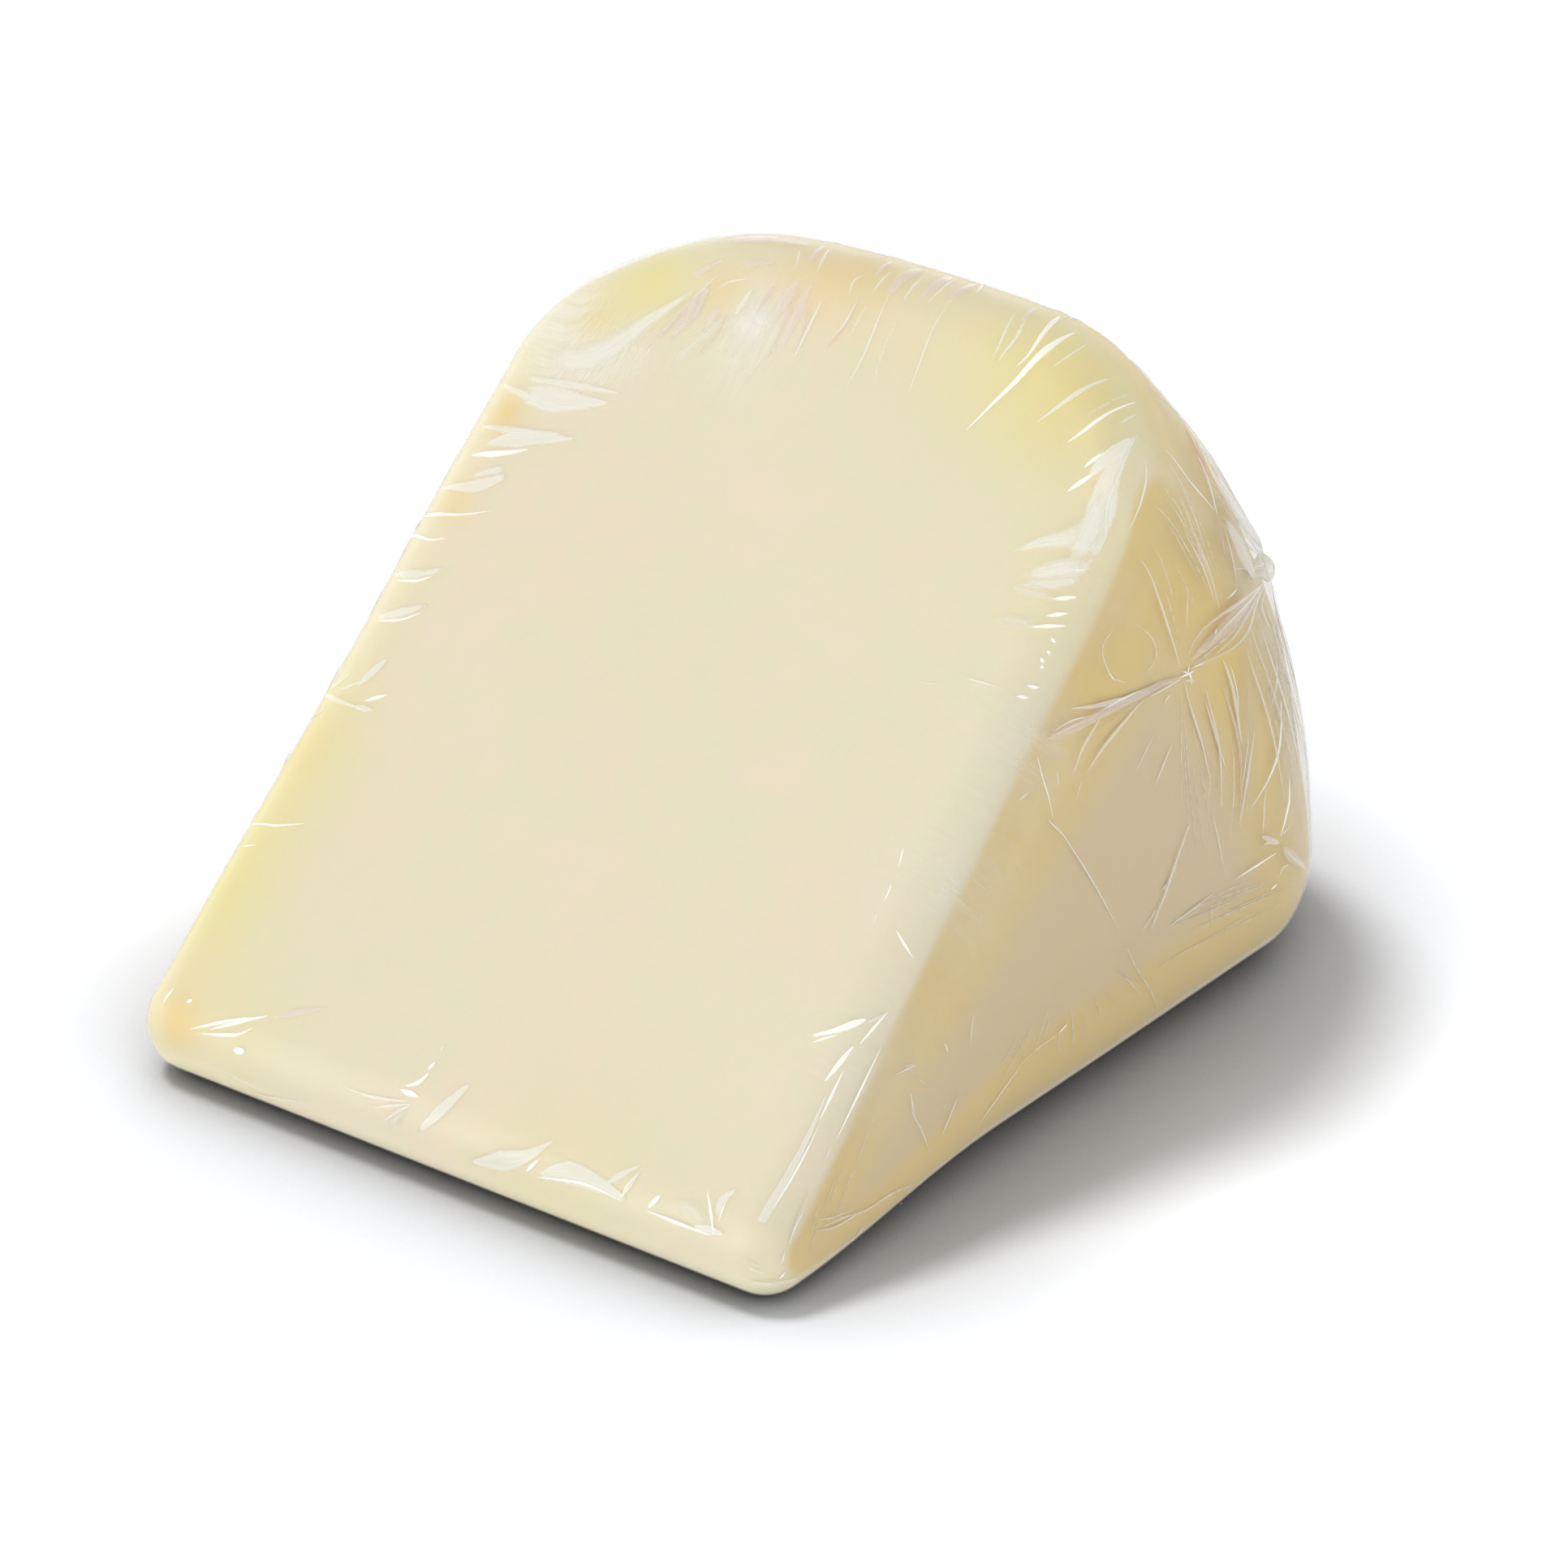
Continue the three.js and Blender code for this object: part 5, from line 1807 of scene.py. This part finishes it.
KNOB_AT = (2.61, 44.0)
THREAD_BANDS: dict[str, ThreadBand] = {
    "rim_tension": ThreadBand(
        ((2.6, 46.0), (2.66, 50.1)), ((2.16, 45.6), (2.2, 50.2)), 13, 0.045, 0.012, 1.0, 0.6
    ),
    "rim_tension_fine": ThreadBand(
        ((2.5, 46.0), (2.55, 50.0)), ((2.1, 46.0), (2.15, 50.3)), 9, 0.04, 0.012
    ),
    "knob_rays_down": ThreadBand((KNOB_AT, KNOB_AT), ((2.2, 40.0), (2.3, 49.6)), 9, 0.055, 0.0, 1.0, 0.7),
    "knob_rays_up": ThreadBand((KNOB_AT, KNOB_AT), ((3.0, 42.0), (2.8, 49.4)), 8, 0.055, 0.0, 1.0, 0.6),
    "knob_rays_back": ThreadBand((KNOB_AT, KNOB_AT), ((2.45, 22.0), (2.85, 24.0)), 10, 0.06, 0.0, 1.0, 0.5),
    "lens_threads": ThreadBand((KNOT, KNOT), (KNOB_AT, (2.63, 46.0)), 5, 0.06, 0.3, 1.0, 0.85),
    "pleat_threads": ThreadBand(((4.23, 49.3), (4.28, 49.8)), (KNOT, KNOT), 6, 0.05, 0.0, 1.0, 0.6),
    "knot_rays": ThreadBand((KNOT, KNOT), ((2.35, 50.25), (0.9, 50.75)), 7, 0.045, 0.0, 0.75, 0.3),
    "upper_side": ThreadBand(((3.3, 45.0), (4.02, 49.5)), ((2.75, 49.6), KNOT), 9, 0.05, 0.1, 1.0, 0.4),
    "rim_high": ThreadBand(
        ((3.45, -42.0), (3.45, 38.0)), ((2.85, -44.0), (2.85, 36.0)), 20, 0.05, 0.02, 0.7, 0.2
    ),
    "rim_back": ThreadBand(
        ((2.95, -45.0), (2.95, 40.0)), ((2.05, -42.0), (2.05, 38.0)), 30, 0.06, 0.03, 0.6, 0.15
    ),
    "rim_low": ThreadBand(
        ((2.25, -45.0), (2.25, 42.0)), ((1.3, -44.0), (1.3, 40.0)), 22, 0.055, 0.02, 0.6, 0.15
    ),
    "low_corner": ThreadBand(
        ((2.08, 50.05), (1.6, 49.0)), ((0.8, 50.6), (0.7, 50.1)), 9, 0.05, 0.2, 0.8, 0.3
    ),
    "floor_edge": ThreadBand(
        ((0.75, 49.6), (0.3, 49.8)), ((0.6, 50.4), (0.2, 50.5)), 12, 0.045, 0.1, 0.7, 0.3
    ),
    "nose_side": ThreadBand(
        ((4.72, 49.9), (4.95, 49.6)), ((6.25, 50.2), (5.7, 49.8)), 8, 0.045, 0.2, 0.7, 0.3
    ),
}


@dataclass
class TensionThreads:
    """Fine ridges that tension draws in film: thin tubes, half sunk, made by geometry nodes."""

    maker: TrailMaker
    sides: int = 5
    spacing: float = 0.8
    waver: float = 0.05
    waver_scale: float = 260.0
    taper: float = 0.6
    thinnest: float = 0.1
    vary: Pair = (0.7, 1.3)
    seed: int = SEED

    def tree(self) -> NodeTree:
        """Makes the node tree: paths to tapered, slightly wavering tubes.

        Returns:
            The tree.
        """
        tree = bpy.data.node_groups.new("tension_threads", "GeometryNodeTree")
        face = tree.interface
        names = ("Geometry", "Spacing", "Waver", "Seed", "Sides", "Material")
        kinds = ("Geometry", "Float", "Float", "Float", "Int", "Material")
        for name, kind in zip(names, kinds):
            face.new_socket(name=name, in_out="INPUT", socket_type="NodeSocket" + kind)
        face.new_socket(name="Geometry", in_out="OUTPUT", socket_type="NodeSocketGeometry")
        sheet = NodeSheet(tree)
        start = tree.nodes.new("NodeGroupInput").outputs
        curves = sheet.add("GeometryNodeMeshToCurve", Mesh=start["Geometry"])
        settings = {"mode": "LENGTH"}
        even = sheet.add("GeometryNodeResampleCurve", settings, curves.outputs[0], Length=start["Spacing"])
        settings = {"noise_dimensions": "4D"}
        noise = sheet.add("ShaderNodeTexNoise", settings, W=start["Seed"], Scale=self.waver_scale)
        centred = sheet.vector("SUBTRACT", noise.outputs["Color"], (0.5, 0.5, 0.5))
        offset = sheet.add("ShaderNodeVectorMath", {"operation": "SCALE"}, centred, Scale=start["Waver"])
        moved = sheet.add("GeometryNodeSetPosition", Geometry=even.outputs[0], Offset=offset.outputs[0])
        thick = sheet.add("GeometryNodeInputNamedAttribute", {"data_type": "FLOAT"}, Name="thick")
        along = sheet.add("GeometryNodeSplineParameter").outputs["Factor"]
        taper = sheet.math("SINE", sheet.times(along, math.pi))
        taper = sheet.math("MAXIMUM", sheet.math("POWER", taper, self.taper), self.thinnest)
        scale = sheet.times(thick.outputs[0], taper)
        ring = sheet.add("GeometryNodeCurvePrimitiveCircle", Resolution=start["Sides"], Radius=1.0)
        tubes = sheet.add(
            "GeometryNodeCurveToMesh",
            Curve=moved.outputs[0],
            Profile_Curve=ring.outputs[0],
            Scale=scale,
            Fill_Caps=True,
        )
        smooth = sheet.add("GeometryNodeSetShadeSmooth", Geometry=tubes.outputs[0])
        real = sheet.add("GeometryNodeRealizeInstances", Geometry=smooth.outputs[0])
        done = sheet.add("GeometryNodeSetMaterial", Geometry=real.outputs[0], Material=start["Material"])
        sheet.add("NodeGroupOutput", None, done.outputs[0])
        return tree

    def paths(self, bands: dict[str, ThreadBand]) -> Object:
        """Makes the threads' paths as loose edges.

        Args:
            bands: What to lay out.

        Returns:
            An object of edges with the attribute thick, in metres.
        """
        rng = np.random.default_rng(self.seed)
        points: list[Vector] = []
        edges: list[tuple[int, int]] = []
        thick: list[float] = []
        for band in bands.values():
            for trail in band.trails(self.maker, rng):
                first = len(points)
                points.extend(trail.points)
                edges.extend((first + i, first + i + 1) for i in range(len(trail.points) - 1))
                thick.extend([band.thickness * MM * rng.uniform(*self.vary)] * len(trail.points))
        mesh = bpy.data.meshes.new("film_threads")
        mesh.from_pydata([tuple(point * MM) for point in points], edges, [])
        store(mesh, thick=thick)
        return link("film_threads", mesh)

    def build(self, bands: dict[str, ThreadBand], material: Material) -> None:
        """Makes the piece.

        Args:
            bands: What to lay out.
            material: Its finish.
        """
        piece = self.paths(bands)
        modifier = piece.modifiers.new("threads", "NODES")
        modifier.node_group = self.tree()
        values = {
            "Spacing": self.spacing * MM,
            "Waver": self.waver * MM,
            "Seed": float(self.seed),
            "Sides": self.sides,
            "Material": material,
        }
        for item in modifier.node_group.interface.items_tree:
            if item.in_out == "INPUT" and item.name in values:
                modifier[item.identifier] = values[item.name]
        bpy.context.view_layer.update()
        graph = bpy.context.evaluated_depsgraph_get()
        made = bpy.data.meshes.new_from_object(piece.evaluated_get(graph))
        piece.modifiers.remove(modifier)
        piece.data = made
        made.name = piece.name
        attach(piece)


@dataclass
class FilmKnob:
    """The gathered end of the film: a small pleated knob that stands out of the side."""

    form: WedgeForm
    at: Pair = KNOB_AT
    stations: tuple[float, ...] = (-1.2, 0.1, 0.5, 1.1, 1.6, 1.9)
    radii: tuple[float, ...] = (0.9, 1.1, 1.45, 1.4, 1.0, 0.4)
    tall: float = 1.3
    thin: float = 0.72
    rings: int = 22
    sides: int = 72
    pleats: int = 9
    pleat_depth: float = 0.17
    twist: float = 0.7
    wave: float = 0.35
    wave_turns: float = 2.3
    wave_twist: float = 1.7
    root_out: float = 0.3
    tip_in: float = 0.15

    def build(self, material: Material) -> None:
        """Makes the piece.

        Args:
            material: Its finish.
        """
        centre, normal = self.form.skin(*self.at)
        up = np.array([0, 0, 1.0])
        up = unit(up - normal * normal[2])
        side = np.cross(normal, up)
        outs = np.linspace(self.stations[0], self.stations[-1], self.rings)
        radii = np.interp(outs, self.stations, self.radii)
        turn = np.linspace(0, 2 * math.pi, self.sides, endpoint=False)
        out, angle = np.meshgrid(outs, turn, indexing="ij")
        phase = self.pleats * angle + self.twist * out
        wave = np.sin(self.wave_turns * angle + self.wave_twist * out)
        fold = np.abs(np.sin(phase / 2)) + self.wave * wave
        reach = radii[:, None] * (1 - self.pleat_depth * (1 - fold))
        points = (
            centre
            + out[..., None] * normal
            + (self.tall * reach * np.cos(angle))[..., None] * up
            + (self.thin * reach * np.sin(angle))[..., None] * side
        )
        root = centre + (self.stations[0] - self.root_out) * normal
        tip = centre + (self.stations[-1] - self.tip_in) * normal
        points = np.concatenate([[root], points.reshape(-1, 3), [tip]])
        faces = outward(points, closed_faces(self.rings, self.sides))
        attach(new_object("film_knob", points, faces, material))


# ---- the studio


@dataclass(frozen=True)
class Softbox:
    """A large square lamp that faces the object."""

    name: str
    way: Triple
    distance: float
    size: float
    power: float

    def build(self, target: Vector) -> None:
        """Makes the lamp.

        Args:
            target: What it faces.
        """
        lamp = bpy.data.lights.new(self.name, "AREA")
        lamp.shape = "SQUARE"
        lamp.size = self.size
        lamp.energy = self.power
        box = link(self.name, lamp)
        way = Vector(self.way).normalized()
        turn = way.to_track_quat("Z", "Y").to_matrix().to_4x4()
        box.matrix_world = Matrix.Translation(target + way * self.distance) @ turn


@dataclass(frozen=True)
class Studio:
    """A white floor with a painted contact shade, a surround that is brightest at the horizon, and soft
    lamps.
    """

    target: Triple = (0.0, 0.0, 0.04)
    floor_size: float = 6.0
    paper: Color = (0.955, 0.963, 0.985, 1.0)
    paper_cloud: Color = (0.96, 0.968, 0.99, 1.0)
    cloud_scale: float = 8.0
    # painted contact shade: its colour, how far it reaches, how steeply it darkens and its samples
    contact: Color = (0.02, 0.02, 0.035, 1.0)
    painted_shade_reach: float = 0.028
    painted_shade_power: float = 1.1
    painted_shade_samples: int = 4
    zenith: float = 0.355
    horizon: float = 3.0
    horizon_power: float = 3.0
    surround_tint: Color = (0.94, 0.97, 1.0, 1.0)
    key_strength: float = 1.74
    key_way: Triple = (-0.36, -0.08, 1.0)
    key_angle: float = math.radians(14.5)
    boxes: tuple[Softbox, ...] = (
        Softbox("fill_low", (-0.15, -1.0, 0.03), 1.6, 1.0, 4.0),
        Softbox("fill_front", (0.55, -0.7, 0.45), 1.6, 1.2, 2.5),
    )

    def floor(self) -> None:
        """Makes the floor: paper with a painted contact shade, which camera rays see darken in the narrow
        gap under an object while the light it throws back stays even.
        """
        half = self.floor_size / 2 / MM
        corners = np.array([[-half, -half, 0], [half, -half, 0], [half, half, 0], [-half, half, 0]])
        material, sheet = new_material("studio_floor")
        color = sheet.mix(sheet.noise(sheet.where(), self.cloud_scale), self.paper, self.paper_cloud)
        settings = {"samples": self.painted_shade_samples}
        # painted shade: the paper darkens where it is hemmed in, for camera rays only
        close = sheet.add("ShaderNodeAmbientOcclusion", settings, Distance=self.painted_shade_reach)
        shade = sheet.math("POWER", close.outputs["AO"], self.painted_shade_power)
        painted_shaded = sheet.mix(shade, self.contact, color)
        seen = sheet.add("ShaderNodeLightPath").outputs["Is Camera Ray"]
        paper = sheet.add("ShaderNodeBsdfDiffuse", Color=sheet.mix(seen, color, painted_shaded))
        sheet.add("ShaderNodeOutputMaterial", Surface=paper.outputs[0])
        floor = new_object("floor", corners, [(0, 1, 2, 3)], material)

    def surround(self) -> None:
        """Sets the world: dim overhead and bright at the horizon."""
        world = bpy.data.worlds.new("studio")
        world.use_nodes = True
        world.node_tree.nodes.clear()
        sheet = NodeSheet(world.node_tree)
        way = sheet.add("ShaderNodeTexCoord").outputs["Generated"]
        height = sheet.add("ShaderNodeSeparateXYZ", Vector=way).outputs["Z"]
        low = sheet.math("SUBTRACT", 1.0, sheet.math("ABSOLUTE", height), clamp=True)
        low = sheet.math("POWER", low, self.horizon_power)
        light = sheet.math("MULTIPLY_ADD", low, self.horizon - self.zenith, self.zenith)
        back = sheet.add("ShaderNodeBackground", Color=self.surround_tint, Strength=light)
        sheet.add("ShaderNodeOutputWorld", Surface=back.outputs[0])
        bpy.context.scene.world = world

    def lights(self) -> None:
        """Sets the lamps."""
        lamp = bpy.data.lights.new("key", "SUN")
        lamp.energy = self.key_strength
        lamp.angle = self.key_angle
        key = link("key", lamp)
        key.visible_glossy = False
        key.rotation_euler = Vector(self.key_way).to_track_quat("Z", "Y").to_euler()
        for box in self.boxes:
            box.build(Vector(self.target))


def toward(azimuth: float, elevation: float) -> Vector:
    """The way to a point that lies round to the right of the front and up."""
    level = math.cos(elevation)
    return Vector((math.sin(azimuth) * level, -math.cos(azimuth) * level, math.sin(elevation)))


@dataclass(frozen=True)
class ViewPoint:
    """A long lens from the front right and above."""

    distance: float = 1641.69
    azimuth: float = 0.666143
    elevation: float = 0.478843
    yaw: float = -0.000503
    pitch: float = 0.008551
    focus: Triple = (0.0, -0.369, 44.2085)
    lens: float = 318.17
    sensor: float = 36.0
    clip: Pair = (0.1, 20.0)

    def build(self) -> None:
        """Makes the camera and sets it as the scene's."""
        place = Vector(self.focus) + toward(self.azimuth, self.elevation) * self.distance
        yaw = self.azimuth + self.yaw
        view = -toward(yaw, self.elevation + self.pitch)
        right = Vector((math.cos(yaw), math.sin(yaw), 0))
        up = right.cross(view)
        data = bpy.data.cameras.new("camera")
        data.lens = self.lens
        data.sensor_width = self.sensor
        data.clip_start, data.clip_end = self.clip
        camera = link("camera", data)
        turn = Matrix((right, up, -view)).transposed().to_4x4()
        camera.matrix_world = Matrix.Translation(place * MM) @ turn
        bpy.context.scene.camera = camera


def main() -> None:
    """Builds the cheese, its film and the studio."""
    logging.basicConfig(level=logging.INFO, format="%(name)s: %(message)s")
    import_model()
    ViewPoint().build()
    studio = Studio()
    studio.floor()
    studio.surround()
    studio.lights()
    scene = bpy.context.scene
    scene.view_settings.view_transform = "Standard"
    scene.cycles.transparent_max_bounces = TRANSPARENT_BOUNCES

    form = WedgeForm()
    gap = FilmGap()
    mottle = mottle_group()
    streak = StreakMask().make()
    CheeseBody(form, gap).build(CheeseFinish().make(mottle))
    film = FilmWrap(form, gap)
    film.build(FilmFinish("clear_film").make_sheet())
    maker = TrailMaker(film)
    # The folds' finish paints white and rosy sheen and highlights on the film.
    fold_and_sheen_finish = FilmFinish("film_folds_and_painted_sheen", gloss=1.3, roughness=0.2, bump=0.12).make_streaks(streak)
    rng = np.random.default_rng(SEED)
    shown = {name: fold for name, fold in SIDE_FOLDS.items() if fold.look.tone is not Tone.LILAC}
    layout = {
        "film_sheen": CUT_FOLDS,
        "film_pleats": SIDE_FOLDS,
        "film_pleats_left": {name: fold.mirrored(rng) for name, fold in shown.items()},
        "film_pleats_back": BACK_FOLDS,
    }
    for offset, (name, named) in enumerate(layout.items()):
        folds = FilmFolds(maker, name)
        folds.lay_out(named, SEED + offset)
        folds.build(fold_and_sheen_finish)

    # The threads' and knob's white veil paints in part the bright lines that light draws on them.
    thread_finish = FilmFinish("film_threads", veil=0.6, roughness=0.15).make_threads()
    TensionThreads(maker).build(THREAD_BANDS, thread_finish)
    FilmKnob(form).build(thread_finish)


if __name__ == "__main__":
    main()
